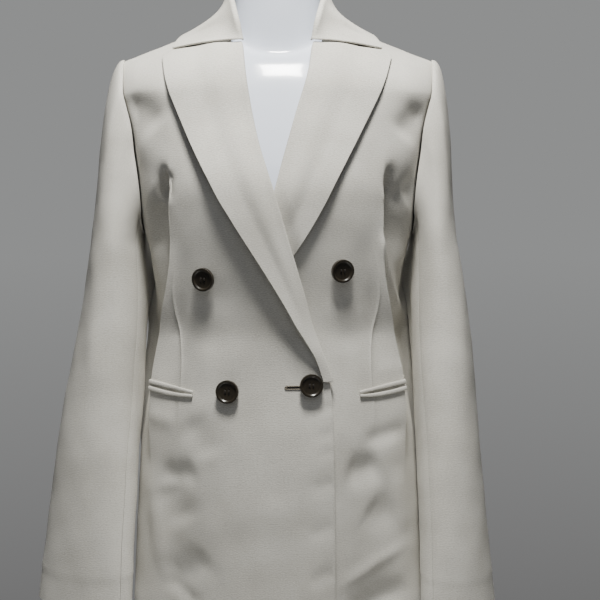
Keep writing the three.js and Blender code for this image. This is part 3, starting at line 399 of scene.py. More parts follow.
@dataclass(frozen=True)
class Torso:
    """The worn garment's body surface, by an angle round it and a height coordinate.

    The angle is 0 at the front centre and pi at the back centre. The height coordinate is z up to the
    chest or the blades, and above them it is the share of the string over the shoulder.
    """

    sections: Profile = Profile(
        (110, 180, 250, 350, 400, 440, 490, 520, 566, 600, 625, 655, 700, 755),
        half_width=(172, 169, 165, 157, 150, 142, 133, 137, 145, 151, 157, 162, 168, 184),
        front=(102.5, 103.5, 104.5, 104.5, 103, 101, 99, 101.5, 108.5, 113.5, 116, 117, 110, 97),
        back=(117, 117, 115, 110, 102, 93, 82, 80, 83, 87, 90, 93, 95, 92),
    )
    lines: Profile = Profile(
        (110, 330, 380, 425, 455, 500, 525, 550, 575, 600, 650, 700, 755),
        dart=(38, 40, 42, 43, 44.2, 48.3, 48.4, 46.6, 43, 38, 33, 31, 28),
        crease=(58, 61, 62.5, 62.5, 62.2, 58.8, 54, 49.8, 46.6, 45, 41.5, 39.5, 36),
        stand=(0, 0, 6, 13, 14.6, 14.4, 12.6, 9, 5.5, 3.5, 1.5, 0, 0),
        dart_crest=(0, 0, 0, 1, 1.5, 1.7, 1.6, 1, 0.3, 0, 0, 0, 0),
        trough=(0, 0, 0, 0, 2, 9, 13, 16, 19, 20, 19, 15, 10),
        flare=(0, 7, 14, 20, 22.5, 24.5, 17, 2, 0, 0, 0, 0, 0),
        front_seam=(72, 74, 77, 79, 79, 79, 78, 77, 76, 75.5, 72, 70, 66),
        back_seam=(112, 111, 110, 110, 110, 110, 110, 110, 111, 111, 112, 112, 112),
    )
    armhole: Profile = Profile(
        (625, 655, 691, 717, 745, 755),
        front=(151.9, 153.5, 157.5, 161, 168, 171),
        back=(147.8, 151, 156, 161, 168, 170),
    )
    roll: Profile = Profile(
        (110, 260, 400, 440, 493, 538, 596, 640, 667, 700, 735, 776, 810, 838),
        upper=(-64, -63, -60, -56, -38, -26, -9, 4, 13, 23, 31, 38, 42, 47),
        under=(-72, -72, -72, -70, -50, -34, -14, 0, 7, 16, 26, 38, 43, 48),
    )
    roundness: float = 2.4
    shoulder_tip: Tuple[float, float, float] = (177, 5, 796)
    shoulder_slope: float = 0.385
    neck_x: float = 65
    neck_y: float = 12
    neck_back_y: float = 62
    neck_back_drop: float = 3
    string_leave: float = 1.15  # slope of a string's height where it leaves the chest
    string_arrive: float = 1.25  # slope of its depth where it reaches the seam
    lift_below_break: float = 4.6
    lift_under_lapel: float = 6.8
    break_span: Point2 = (422, 480)  # heights over which the first turns to the second
    lap_x: Point2 = (72, 140)  # distances from the centre over which the lift ends
    lap_z: Point2 = (655, 740)  # and heights
    crease_run: float = 7.5  # degrees over which the crease falls away outside it
    crest_width: float = 1.1
    least_facet: float = 12
    trough_reach: Point2 = (9, 33)  # degrees outside the crease, high up and low down
    trough_spread_z: Point2 = (592, 676)  # heights between which it narrows
    trough_end_z: Point2 = (645, 682)
    flare_place: Point2 = (105, 12)  # degrees, and how wide
    skirt_top: float = 420
    wave_depth: float = 2.2
    wave_turns: float = 7.2
    wave_start: float = 40
    fall_in: Tuple[float, float, float] = (11, 39, 17)  # the skirt's depth, at what angle, and how wide
    swells: Tuple[Swell, ...] = (Swell(-4, 47, 4.5, 656, 17), Swell(2.5, 57, 11, 692, 20))

    def oval(self, angle: Array, z: Array) -> Tuple[Array, Array]:
        """The level section's x and y at an angle.

        Args:
            angle: Angles round the body.
            z: Heights.

        Returns:
            The x and y of each.
        """
        power = 2 / self.roundness
        across, along = np.sin(angle), np.cos(angle)
        depth = np.where(along > 0, self.sections.at("front", z), self.sections.at("back", z))
        x = self.sections.at("half_width", z) * np.sign(across) * np.abs(across) ** power
        return x, -depth * np.sign(along) * np.abs(along) ** power

    def angle_at(self, x: Array, z: Array) -> Array:
        """The angle at which a level section is x away from the centre plane, in front.

        Args:
            x: Distances from the centre plane.
            z: Heights.

        Returns:
            The angles.
        """
        half = self.sections.at("half_width", np.minimum(z, CHEST_Z))
        share = np.minimum(np.abs(x) / half, 1.0)
        return np.sign(x) * np.arcsin(share ** (self.roundness / 2))

    def back_angle_at(self, x: Array, z: Array) -> Array:
        """The angle of a place behind that is x away from the centre plane."""
        share = np.minimum(np.abs(x) / self.sections.at("half_width", z), 1.0)
        return np.pi - np.arcsin(share ** (self.roundness / 2))

    def shoulder_seam(self, x: Array, behind: Array) -> Tuple[Array, Array]:
        """The y and z of the shoulder seam and, inside it, the neckline.

        Args:
            x: Distances from the centre plane.
            behind: Whether the neckline is the back one.

        Returns:
            The y and z of each.
        """
        tip_x, tip_y, tip_z = self.shoulder_tip
        out = np.abs(x)
        neck_z = tip_z + (tip_x - self.neck_x) * self.shoulder_slope
        seam_y = lerp(self.neck_y, tip_y, (out - self.neck_x) / (tip_x - self.neck_x))
        slope_z = neck_z - (out - self.neck_x) * self.shoulder_slope
        arch = np.sqrt(np.clip(1 - (out / self.neck_x) ** 2, 0, 1))
        neck_y = np.where(behind, lerp(self.neck_y, self.neck_back_y, arch), self.neck_y)
        inner_z = np.where(behind, neck_z - self.neck_back_drop * arch, slope_z)
        on_seam = out >= self.neck_x
        return np.where(on_seam, seam_y, neck_y), np.where(on_seam, slope_z, inner_z)

    def string(self, x: Array, share: Array, behind: Array) -> Tuple[Array, Array]:
        """The y and z on the string that climbs over the shoulder at some x, at a share of its way.

        Args:
            x: Distances from the centre plane.
            share: Shares of the string.
            behind: Whether it is a string at the back.

        Returns:
            The y and z of each.
        """
        level = np.where(behind, BLADE_Z, CHEST_Z)
        angle = np.where(behind, self.back_angle_at(x, level), self.angle_at(x, level))
        foot = self.oval(angle, level)[1]
        lean = (foot - self.oval(angle, level - 10)[1]) / 10
        seam_y, seam_z = self.shoulder_seam(x, behind)
        rise = seam_z - level
        travel = 3 * share**2 - 2 * share**3
        start, end = share - 2 * share**2 + share**3, share**3 - share**2
        y = foot + (seam_y - foot) * (travel + self.string_arrive * end) + lean * rise * start
        return y, level + rise * (travel + self.string_leave * start)

    def height_at(self, x: Array, z: Array, behind: bool = False) -> Array:
        """The height coordinate of a place x away from the centre plane at a real z.

        Args:
            x: Distances from the centre plane.
            z: Heights.
            behind: Whether the place is at the back.

        Returns:
            The height coordinates.
        """
        level = BLADE_Z if behind else CHEST_Z
        share = solve(lambda t: self.string(x, t, behind)[1], np.asarray(z, float) + 0 * x)
        return np.where(z <= level, z, level + STRING_SPAN * share)

    def plain(self, angle: Array, height: Array) -> Array:
        """Places on the body without its folds.

        Args:
            angle: Angles round the body.
            height: Height coordinates.

        Returns:
            The places.
        """
        behind = angle > np.pi / 2
        level = np.where(behind, BLADE_Z, CHEST_Z)
        low_x, low_y = self.oval(angle, np.minimum(height, level))
        share = np.maximum(height - level, 0) / STRING_SPAN
        high_y, high_z = self.string(low_x, share, behind)
        above = height > level
        return np.stack([low_x, np.where(above, high_y, low_y), np.where(above, high_z, height)], -1)

    def normal(self, angle: Array, height: Array) -> Array:
        """The plain body's outward directions."""
        round_it = self.plain(angle + 0.004, height) - self.plain(angle - 0.004, height)
        up = self.plain(angle, height + 0.4) - self.plain(angle, height - 0.4)
        return unit(np.cross(round_it, up))

    def folds(self, angle: Array, height: Array) -> Array:
        """How far the cloth stands off the plain body.

        Args:
            angle: Angles round the body.
            height: Height coordinates.

        Returns:
            The distances: the crease that flares from the bust to the pocket, the pressed dart beside
            it, the trough outside it, the flare over the hip behind, the dimple and the swell in front
            of the armhole, and waves that deepen towards the hem.
        """
        turn = np.degrees(np.abs(angle))
        crease, dart = self.lines.at("crease", height), self.lines.at("dart", height)
        off = turn - crease
        inside = np.maximum(0, 1 + off / np.maximum(crease - dart, self.least_facet)) ** 2.0
        outside = np.maximum(0, 1 - off / self.crease_run) ** 1.25
        rise = np.where(off < 0, inside, outside)
        crest = np.exp(-np.abs(turn - dart) / self.crest_width)
        reach = lerp(*self.trough_reach, 1 - smooth(*self.trough_spread_z, height))
        trough = smooth(0, 5, off) * (1 - smooth(0.3 * reach, reach, off))
        trough = trough * (1 - smooth(*self.trough_end_z, height))
        waves = self.wave_depth * np.sin(np.radians(turn * self.wave_turns + self.wave_start))
        depth, middle, width = self.fall_in
        skirt = (1 - smooth(HEM_Z, self.skirt_top, height)) * (waves - depth * bell(turn, middle, width))
        stand = (
            self.lines.at("stand", height) * rise
            + self.lines.at("dart_crest", height) * crest
            - self.lines.at("trough", height) * trough
            + self.lines.at("flare", height) * bell(turn, *self.flare_place)
        )
        for swell in self.swells:
            stand = stand + swell.lift(turn, height)
        return stand + skirt

    def cloth(self, angle: Array, height: Array, lift: Array = 0.0) -> Array:
        """Places on the garment's outer face, with its folds, lifted further."""
        stand = self.folds(angle, height) + lift
        return self.plain(angle, height) + self.normal(angle, height) * np.asarray(stand)[..., None]

    def front_lift(self, lap: Lap, x: Array, z: Array) -> Array:
        """How far a front is lifted where it crosses the other one and its lapel.

        Args:
            lap: Which front.
            x: Distances from the centre plane.
            z: Heights.

        Returns:
            The distances.
        """
        if lap is Lap.UNDER:
            return 0.0 * x
        most = lerp(self.lift_below_break, self.lift_under_lapel, smooth(*self.break_span, z))
        return most * (1 - smooth(*self.lap_x, x)) * (1 - smooth(*self.lap_z, z))

    def on_front(self, lap: Lap, x: Array, z: Array, lift: Array) -> Array:
        """Places on a front by their distance from the centre plane and their z, lifted off it.

        Args:
            lap: Which front.
            x: Distances from the centre plane.
            z: Heights.
            lift: How far they are lifted.

        Returns:
            The places.
        """
        angle, height = self.angle_at(x, z), self.height_at(np.maximum(x, 0), z)
        at = self.plain(angle, height)
        return self.cloth(angle, height, self.front_lift(lap, at[..., 0], at[..., 2]) + lift)

    def armhole_point(self, z: Array, behind: Array, lift: float = 0.0, inside: float = 0.0) -> Array:
        """A place on or inside the armhole's edge.

        Args:
            z: Its height.
            behind: Whether it is at the back.
            lift: How far it is lifted off the body.
            inside: How far it lies inside the edge.

        Returns:
            The place.
        """
        level = np.where(behind, BLADE_Z, CHEST_Z)
        tip_x = self.shoulder_tip[0]
        start = np.where(behind, self.armhole.at("back", level), self.armhole.at("front", level))
        share = solve(lambda t: self.string(lerp(start, tip_x, t), t, behind)[1], z)
        x = lerp(start, tip_x, share)
        upright = smooth(UNDERARM_Z, SIDE_SEAM_Z + 15, z)
        step = 0.4 * inside
        over = np.where(behind, self.back_angle_at(x - step, level), self.angle_at(x - step, level))
        edge = np.where(behind, self.armhole.at("back", z), self.armhole.at("front", z)) - step * upright
        beside = np.where(behind, self.back_angle_at(edge, z), self.angle_at(edge, z))
        seams = self.lines.at("front_seam", SIDE_SEAM_Z), self.lines.at("back_seam", SIDE_SEAM_Z)
        seam = np.radians(np.where(behind, seams[1], seams[0]))
        dip = np.sqrt(np.clip((z - UNDERARM_Z) / (SIDE_SEAM_Z - UNDERARM_Z), 0, 1))
        under = np.pi / 2 + (seam - np.pi / 2) * dip
        angle = np.where(z > level, over, np.where(z > SIDE_SEAM_Z, beside, under))
        below = inside * (1 - upright)
        return self.cloth(angle, np.where(z > level, level + STRING_SPAN * share, z - below), lift)


TORSO = Torso()


# Meshes

def select_only(piece: bpy.types.Object) -> None:
    """Deselects everything and makes one object the selected and active one."""
    bpy.ops.object.select_all(action="DESELECT")
    piece.select_set(True)
    bpy.context.view_layer.objects.active = piece


def apply_modifier(piece: bpy.types.Object, kind: str, **settings: object) -> None:
    """Adds a modifier with its settings and applies it.

    Args:
        piece: The object.
        kind: Blender's name of the modifier's type.
        settings: The modifier's own values.
    """
    select_only(piece)
    modifier = piece.modifiers.new(kind.title(), kind)
    for name, value in settings.items():
        setattr(modifier, name, value)
    bpy.ops.object.modifier_apply(modifier=modifier.name)


def set_smooth(piece: bpy.types.Object, degrees: float = 40) -> None:
    """Shades a piece smooth, with a crisp line where faces meet at more than an angle."""
    select_only(piece)
    bpy.ops.object.shade_smooth_by_angle(angle=np.radians(degrees))


def cylinder(sides: int, radius: float, depth: float, low: Sequence[float]) -> bpy.types.Object:
    """Adds an upright cylinder, with nothing else selected.

    Args:
        sides: How many faces it has round it.
        radius: Its radius.
        depth: Its height.
        low: The middle of its underside.

    Returns:
        The object, with its place in its mesh.
    """
    bpy.ops.object.select_all(action="DESELECT")
    x, y, z = (value * MM for value in low)
    bpy.ops.mesh.primitive_cylinder_add(
        vertices=sides, radius=radius * MM, depth=depth * MM, location=(x, y, z + depth * MM / 2)
    )
    bpy.ops.object.transform_apply(location=True, rotation=True, scale=True)
    return bpy.context.active_object


def pick_cap(piece: bpy.types.Object, way: int) -> None:
    """Selects the flat face at a piece's top (way 1) or bottom (way -1), in edit mode.

    Args:
        piece: The piece.
        way: 1 or -1.
    """
    bpy.ops.mesh.select_all(action="DESELECT")
    bpy.ops.object.mode_set(mode="OBJECT")
    caps = [face for face in piece.data.polygons if face.normal.z * way > 0.99]
    max(caps, key=lambda face: face.center.z * way).select = True
    bpy.ops.object.mode_set(mode="EDIT")


def add_piece(
    name: str, material: bpy.types.Material, piece: bpy.types.Object
) -> bpy.types.Object:
    """Names a finished object, gives it its material, and lets it ride on the model.

    Args:
        name: The piece's name.
        material: The finish.
        piece: The object, at the origin.

    Returns:
        The object.
    """
    piece.name = piece.data.name = name
    piece.data.materials.clear()
    piece.data.materials.append(material)
    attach(piece, "root")
    LOG.info("made %s: %d faces", name, len(piece.data.polygons))
    return piece


@dataclass
class ClothPiece:
    """A pattern piece of cloth as a thin closed shell over a grid of points on its outer face.

    The grid's rows run up the garment, and its columns run away from the front centre. sewn names the
    edges that are drawn in slightly by a seam.
    """

    name: str
    points: Array
    hand: Hand = Hand.LEFT
    sewn: Tuple[str, ...] = ()
    thickness: float = CLOTH
    soften: float = 0.75
    seam_depth: float = 0.55
    seam_reach: float = 3.5

    def _drawn_in(self) -> Array:
        """The outer face with a shallow valley along each sewn edge.

        Returns:
            The moved grid.
        """
        x, z = run(self.points, 1), run(self.points, 0)
        ways = {"inner": x, "outer": x[:, -1:] - x, "bottom": z, "top": z[-1:] - z}
        dip = sum((bell(ways[edge], 0, self.seam_reach) for edge in self.sewn), np.zeros_like(x))
        return self.points - grid_normals(self.points) * (self.seam_depth * np.minimum(dip, 1))[..., None]

    def flat_size(self, outer: Array) -> Tuple[float, float, float]:
        """The width, length and area of the flat cut, in metres.

        Args:
            outer: The outer face.

        Returns:
            The three measures.
        """
        width, length = steps(outer, 1).sum(1).max() * MM, steps(outer, 0).sum(0).max() * MM
        a, b, c, d = outer[:-1, :-1], outer[:-1, 1:], outer[1:, 1:], outer[1:, :-1]
        halves = [np.cross(b - a, c - a), np.cross(c - a, d - a)]
        return width, length, min(np.linalg.norm(halves, axis=-1).sum() / 2 * MM**2, width * length)

    def build(self) -> Tuple[bpy.types.Object, Tuple[float, float, float]]:
        """Makes the mesh.

        Returns:
            The object, and the width, length and area of its flat cut in metres.
        """
        outer = self._drawn_in()
        inner = outer - grid_normals(outer) * self.thickness
        rows, columns = outer.shape[:2]
        number = np.arange(rows * columns).reshape(rows, columns)
        low = number + rows * columns
        quads = [
            np.stack([number[:-1, :-1], number[:-1, 1:], number[1:, 1:], number[1:, :-1]], -1).reshape(-1, 4),
            np.stack([low[:-1, :-1], low[1:, :-1], low[1:, 1:], low[:-1, 1:]], -1).reshape(-1, 4),
            np.stack([number[0, :-1], low[0, :-1], low[0, 1:], number[0, 1:]], -1),
            np.stack([number[-1, :-1], number[-1, 1:], low[-1, 1:], low[-1, :-1]], -1),
            np.stack([number[:-1, 0], number[1:, 0], low[1:, 0], low[:-1, 0]], -1),
            np.stack([number[:-1, -1], low[:-1, -1], low[1:, -1], number[1:, -1]], -1),
        ]
        faces = np.concatenate(quads)
        points = np.concatenate([outer.reshape(-1, 3), inner.reshape(-1, 3)])
        if self.hand is Hand.RIGHT:
            points = points * (-1, 1, 1)
            faces = faces[:, ::-1]
        mesh = bpy.data.meshes.new(self.name)
        mesh.from_pydata((points * MM).tolist(), [], faces.tolist())
        self._lay_out(mesh, outer)
        piece = bpy.data.objects.new(self.name, mesh)
        bpy.context.scene.collection.objects.link(piece)
        apply_modifier(
            piece, "BEVEL", width=self.soften * MM, segments=2, limit_method="ANGLE", angle_limit=0.9
        )
        set_smooth(piece, 50)
        return piece, self.flat_size(outer)

    def _lay_out(self, mesh: bpy.types.Mesh, outer: Array) -> None:
        """Gives the mesh a UV map in metres of flat cloth, on which the yarns follow the cut.

        Args:
            mesh: The mesh.
            outer: The grid of its outer face.
        """
        u = run(outer, 1)
        v = run(outer, 0).mean(1)[:, None] + 0 * u
        flat = np.tile(np.stack([u, v], -1).reshape(-1, 2), (2, 1)) * MM
        corners = np.empty(len(mesh.loops), np.int32)
        mesh.loops.foreach_get("vertex_index", corners)
        mesh.uv_layers.new(name="cut").data.foreach_set("uv", flat[corners].astype(np.float32).ravel())


def hang(
    piece: ClothPiece,
    material: bpy.types.Material,
    node: str,
) -> bpy.types.Object:
    """Builds a pattern piece, lets it stand for its CAD node and declares its cut.

    Args:
        piece: The pattern piece.
        material: The cloth.
        node: The CAD node it stands for.

    Returns:
        The object.
    """
    made, (width, length, area) = piece.build()
    add_piece(piece.name, material, made)
    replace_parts(made, node)
    LOG.info("%s was cut %.0f by %.0f mm, %.4f square metres", piece.name, width / MM, length / MM, area)
    return made


# Finishes

WAVE_RADIANS = 20.0  # turned by Blender's wave texture over a unit, straight along its axis
SLANTED_RADIANS = 10.0 * 3**0.5  # and straight across its diagonal bands


def linear(colour: str) -> Tuple[float, float, float, float]:
    """An sRGB hex colour as linear RGBA.

    Args:
        colour: A # and six digits.

    Returns:
        Red, green, blue and 1.
    """
    parts = np.array([int(colour[i : i + 2], 16) / 255 for i in (1, 3, 5)])
    straight = np.where(parts <= 0.04045, parts / 12.92, ((parts + 0.055) / 1.055) ** 2.4)
    return (*straight.tolist(), 1.0)


def wire(tree: bpy.types.NodeTree, made: bpy.types.Node, inputs: Dict[object, object]) -> None:
    """Sets or links a node's inputs.

    Args:
        tree: The node's tree.
        made: The node.
        inputs: For each input's name or number, its value or the socket that feeds it.
    """
    for name, value in inputs.items():
        if isinstance(value, bpy.types.NodeSocket):
            tree.links.new(value, made.inputs[name])
        else:
            made.inputs[name].default_value = value


def node(
    tree: bpy.types.NodeTree, kind: str, inputs: Optional[Dict[object, object]] = None, **settings: object
) -> bpy.types.Node:
    """Adds a node with its settings, and sets or links its inputs.

    Args:
        tree: The material's node tree.
        kind: Blender's name of the node's type, without ShaderNode in front.
        inputs: For each input's name or number, its value or the socket that feeds it.
        settings: The node's own values.

    Returns:
        The node.
    """
    made = tree.nodes.new(f"ShaderNode{kind}")
    for name, value in settings.items():
        setattr(made, name, value)
    wire(tree, made, inputs or {})
    return made


def new_material(name: str) -> Tuple[bpy.types.Material, bpy.types.NodeTree, bpy.types.Node]:
    """An empty material with a Principled shader, its tree and that shader.

    Args:
        name: Its name.

    Returns:
        The material, the tree and the shader.
    """
    material = bpy.data.materials.new(name)
    material.use_nodes = True
    tree = material.node_tree
    return material, tree, tree.nodes["Principled BSDF"]


@dataclass(frozen=True)
class WovenCrepe:
    """Polyester crepe suiting in ivory, woven from hard twisted yarn.

    The twist gives the cloth a dry, finely pebbled face with no shine, and a soft glow at grazing angles.
    """

    pale: str = "#dfddd6"
    deep: str = "#c6c3bb"
    pebble_mm: float = 2.2  # the real yarns lie 0.3 mm apart, which is too fine to show
    pebble_slimness: float = 1.9
    yarn_mm: float = 1.7765  # between rows of yarn, six times as coarse as the real ones for the same reason
    cloud_mm: float = 60
    relief_mm: float = 0.2
    yarn_share: float = 0.3  # of the rows in the grain, beside the pebble
    grain_share: float = 1.3  # of the grain in the tone, beside the clouds
    tone_range: Point2 = (1.05, 1.6)  # sums of grain and clouds that are deep and pale
    roughness: float = 0.86

    def material(self) -> bpy.types.Material:
        """Builds the material.

        Returns:
            The material.
        """
        material, tree, shader = new_material("woven_ivory_crepe")
        place = node(tree, "TexCoord")
        slim = (1.0, self.pebble_slimness, 1.0)
        cut = node(tree, "Mapping", {"Vector": place.outputs["UV"], "Scale": slim})
        grain_size = 1 / (self.pebble_mm * MM)
        pebble = node(
            tree, "TexNoise", {"Vector": cut.outputs[0], "Scale": grain_size, "Detail": 3.0, "Roughness": 0.6}
        )
        rows = {
            "Vector": place.outputs["UV"],
            "Scale": 2 * np.pi / WAVE_RADIANS / (self.yarn_mm * MM),
            "Distortion": 8.0,
            "Detail": 2.0,
            "Detail Scale": 1.5,
        }
        yarns = node(tree, "TexWave", rows, bands_direction="Y")
        wide = {"Vector": place.outputs["Object"], "Scale": 1 / (self.cloud_mm * MM), "Detail": 4.0}
        clouds = node(tree, "TexNoise", wide)
        sums = {0: yarns.outputs["Fac"], 1: self.yarn_share, 2: pebble.outputs["Fac"]}
        grain = node(tree, "Math", sums, operation="MULTIPLY_ADD")
        sums = {0: grain.outputs[0], 1: self.grain_share, 2: clouds.outputs["Fac"]}
        blend = node(tree, "Math", sums, operation="MULTIPLY_ADD")
        low, high = self.tone_range
        tone = node(tree, "MapRange", {"Value": blend.outputs[0], "From Min": low, "From Max": high})
        tones = {0: tone.outputs[0], 6: linear(self.deep), 7: linear(self.pale)}
        colour = node(tree, "Mix", tones, data_type="RGBA")
        height = {"Height": grain.outputs[0], "Distance": self.relief_mm * MM, "Strength": 0.9}
        relief = node(tree, "Bump", height)
        wire(tree, shader, {"Base Color": colour.outputs[2], "Normal": relief.outputs[0]})
        shader.inputs["Roughness"].default_value = self.roughness
        shader.inputs["IOR"].default_value = 1.45
        shader.inputs["Specular IOR Level"].default_value = 0.25
        shader.inputs["Sheen Weight"].default_value = 0.06
        shader.inputs["Sheen Roughness"].default_value = 0.5
        return material


@dataclass(frozen=True)
class PolishedHorn:
    """Dark buffalo horn, turned and polished.

    Fine dark streaks lie in a brown that is nearly black, and the polish gives a small clear highlight.
    """

    dark: str = "#15120e"
    light: str = "#3a342a"
    streak_mm: float = 3.0
    streak_stretch: float = 0.25
    roughness: float = 0.3
    wear: Point2 = (-0.06, 0.08)  # how far the roughness varies

    def material(self) -> bpy.types.Material:
        """Builds the material.

        Returns:
            The material.
        """
        material, tree, shader = new_material("polished_buffalo_horn")
        place = node(tree, "TexCoord")
        drawn = (1.0, 1.0, self.streak_stretch)
        stretch = node(tree, "Mapping", {"Vector": place.outputs["Object"], "Scale": drawn})
        grain = {
            "Vector": stretch.outputs[0],
            "Scale": 1 / (self.streak_mm * MM),
            "Detail": 5.0,
            "Roughness": 0.6,
            "Distortion": 0.8,
        }
        streaks = node(tree, "TexNoise", grain)
        tones = {0: streaks.outputs["Fac"], 6: linear(self.dark), 7: linear(self.light)}
        colour = node(tree, "Mix", tones, data_type="RGBA")
        low, high = (self.roughness + change for change in self.wear)
        wear = node(tree, "MapRange", {"Value": streaks.outputs["Fac"], "To Min": low, "To Max": high})
        wire(tree, shader, {"Base Color": colour.outputs[2], "Roughness": wear.outputs[0]})
        shader.inputs["IOR"].default_value = 1.54
        return material


@dataclass(frozen=True)
class SewingThreadAndPaintedShade:
    """Spun polyester sewing thread, matt, with the twist of its plies showing as fine slanted bands. In
    near-black colours it also paints the shade inside the buttonhole's slit.
    """

    pale: str
    deep: str
    twist_mm: float = 1.5955  # drawn four to five times as coarse as the real twist, which wouldn't show
    roughness: float = 0.75

    def material(self) -> bpy.types.Material:
        """Builds the material.

        Returns:
            The material.
        """
        material, tree, shader = new_material(f"thread_and_painted_shade_{self.pale[1:]}")
        place = node(tree, "TexCoord")
        size = 2 * np.pi / SLANTED_RADIANS / (self.twist_mm * MM)
        plies = {"Vector": place.outputs["Object"], "Scale": size, "Distortion": 1.0}
        bands = node(tree, "TexWave", plies, bands_direction="DIAGONAL")
        tones = {0: bands.outputs["Fac"], 6: linear(self.deep), 7: linear(self.pale)}
        colour = node(tree, "Mix", tones, data_type="RGBA")
        wire(tree, shader, {"Base Color": colour.outputs[2]})
        shader.inputs["Roughness"].default_value = self.roughness
        return material


@dataclass(frozen=True)
class GlossLacquer:
    """White gloss lacquer on a moulded glass fibre form.

    A cool white under a clear hard gloss, level all over, with the faintest orange peel in the reflections.
    """

    white: str = "#ecf2ff"
    shade: str = "#e4ecfc"
    peel_mm: float = 9
    cloud_mm: float = 125
    relief_mm: float = 0.05
    roughness: float = 0.16

    def material(self) -> bpy.types.Material:
        """Builds the material.

        Returns:
            The material.
        """
        material, tree, shader = new_material("white_gloss_lacquer")
        place = node(tree, "TexCoord").outputs["Object"]
        peel = node(tree, "TexNoise", {"Vector": place, "Scale": 1 / (self.peel_mm * MM), "Detail": 2.0})
        clouds = node(tree, "TexNoise", {"Vector": place, "Scale": 1 / (self.cloud_mm * MM), "Detail": 3.0})
        tones = {0: clouds.outputs["Fac"], 6: linear(self.shade), 7: linear(self.white)}
        colour = node(tree, "Mix", tones, data_type="RGBA")
        height = {"Height": peel.outputs["Fac"], "Distance": self.relief_mm * MM, "Strength": 0.5}
        relief = node(tree, "Bump", height)
        wire(tree, shader, {"Base Color": colour.outputs[2], "Normal": relief.outputs[0]})
        shader.inputs["Roughness"].default_value = self.roughness
        shader.inputs["IOR"].default_value = 1.5
        shader.inputs["Coat Weight"].default_value = 0.5
        shader.inputs["Coat Roughness"].default_value = 0.05
        return material


@dataclass(frozen=True)
class SatinSteel:
    """Nickel plated steel with a satin brushed face.

    A pale warm metal whose reflections are drawn out softly, with fine lines from the brush.
    """

    metal: str = "#c6c5c2"
    line_mm: float = 0.8  # the brush's lines are a tenth of that and wouldn't show
    line_stretch: float = 0.06
    relief_mm: float = 0.02
    roughness: float = 0.3
    wear: Point2 = (-0.08, 0.12)  # how far the roughness varies

    def material(self) -> bpy.types.Material:
        """Builds the material.

        Returns:
            The material.
        """
        material, tree, shader = new_material("satin_nickel_steel")
        place = node(tree, "TexCoord")
        drawn = (self.line_stretch, self.line_stretch, 1.0)
        stretch = node(tree, "Mapping", {"Vector": place.outputs["Object"], "Scale": drawn})
        brush = {"Vector": stretch.outputs[0], "Scale": 1 / (self.line_mm * MM), "Detail": 3.0}
        lines = node(tree, "TexNoise", brush)
        low, high = (self.roughness + change for change in self.wear)
        wear = node(tree, "MapRange", {"Value": lines.outputs["Fac"], "To Min": low, "To Max": high})
        height = {"Height": lines.outputs["Fac"], "Distance": self.relief_mm * MM, "Strength": 0.4}
        relief = node(tree, "Bump", height)
        wire(tree, shader, {"Roughness": wear.outputs[0], "Normal": relief.outputs[0]})
        shader.inputs["Base Color"].default_value = linear(self.metal)
        shader.inputs["Metallic"].default_value = 1.0
        return material


@dataclass(frozen=True)
class MattPaint:
    """Emulsion paint on the studio floor: matt and plain, with the roller's faint stipple."""

    colour: str = "#c4c4c3"
    stipple_mm: float = 16.67
    relief_mm: float = 0.2
    roughness: float = 0.9

    def material(self) -> bpy.types.Material:
        """Builds the material.

        Returns:
            The material.
        """
        material, tree, shader = new_material("matt_floor_paint")
        place = node(tree, "TexCoord").outputs["Object"]
        roller = node(tree, "TexNoise", {"Vector": place, "Scale": 1 / (self.stipple_mm * MM), "Detail": 3.0})
        height = {"Height": roller.outputs["Fac"], "Distance": self.relief_mm * MM, "Strength": 0.3}
        relief = node(tree, "Bump", height)
        wire(tree, shader, {"Normal": relief.outputs[0]})
        shader.inputs["Base Color"].default_value = linear(self.colour)
        shader.inputs["Roughness"].default_value = self.roughness
        return material


# The garment

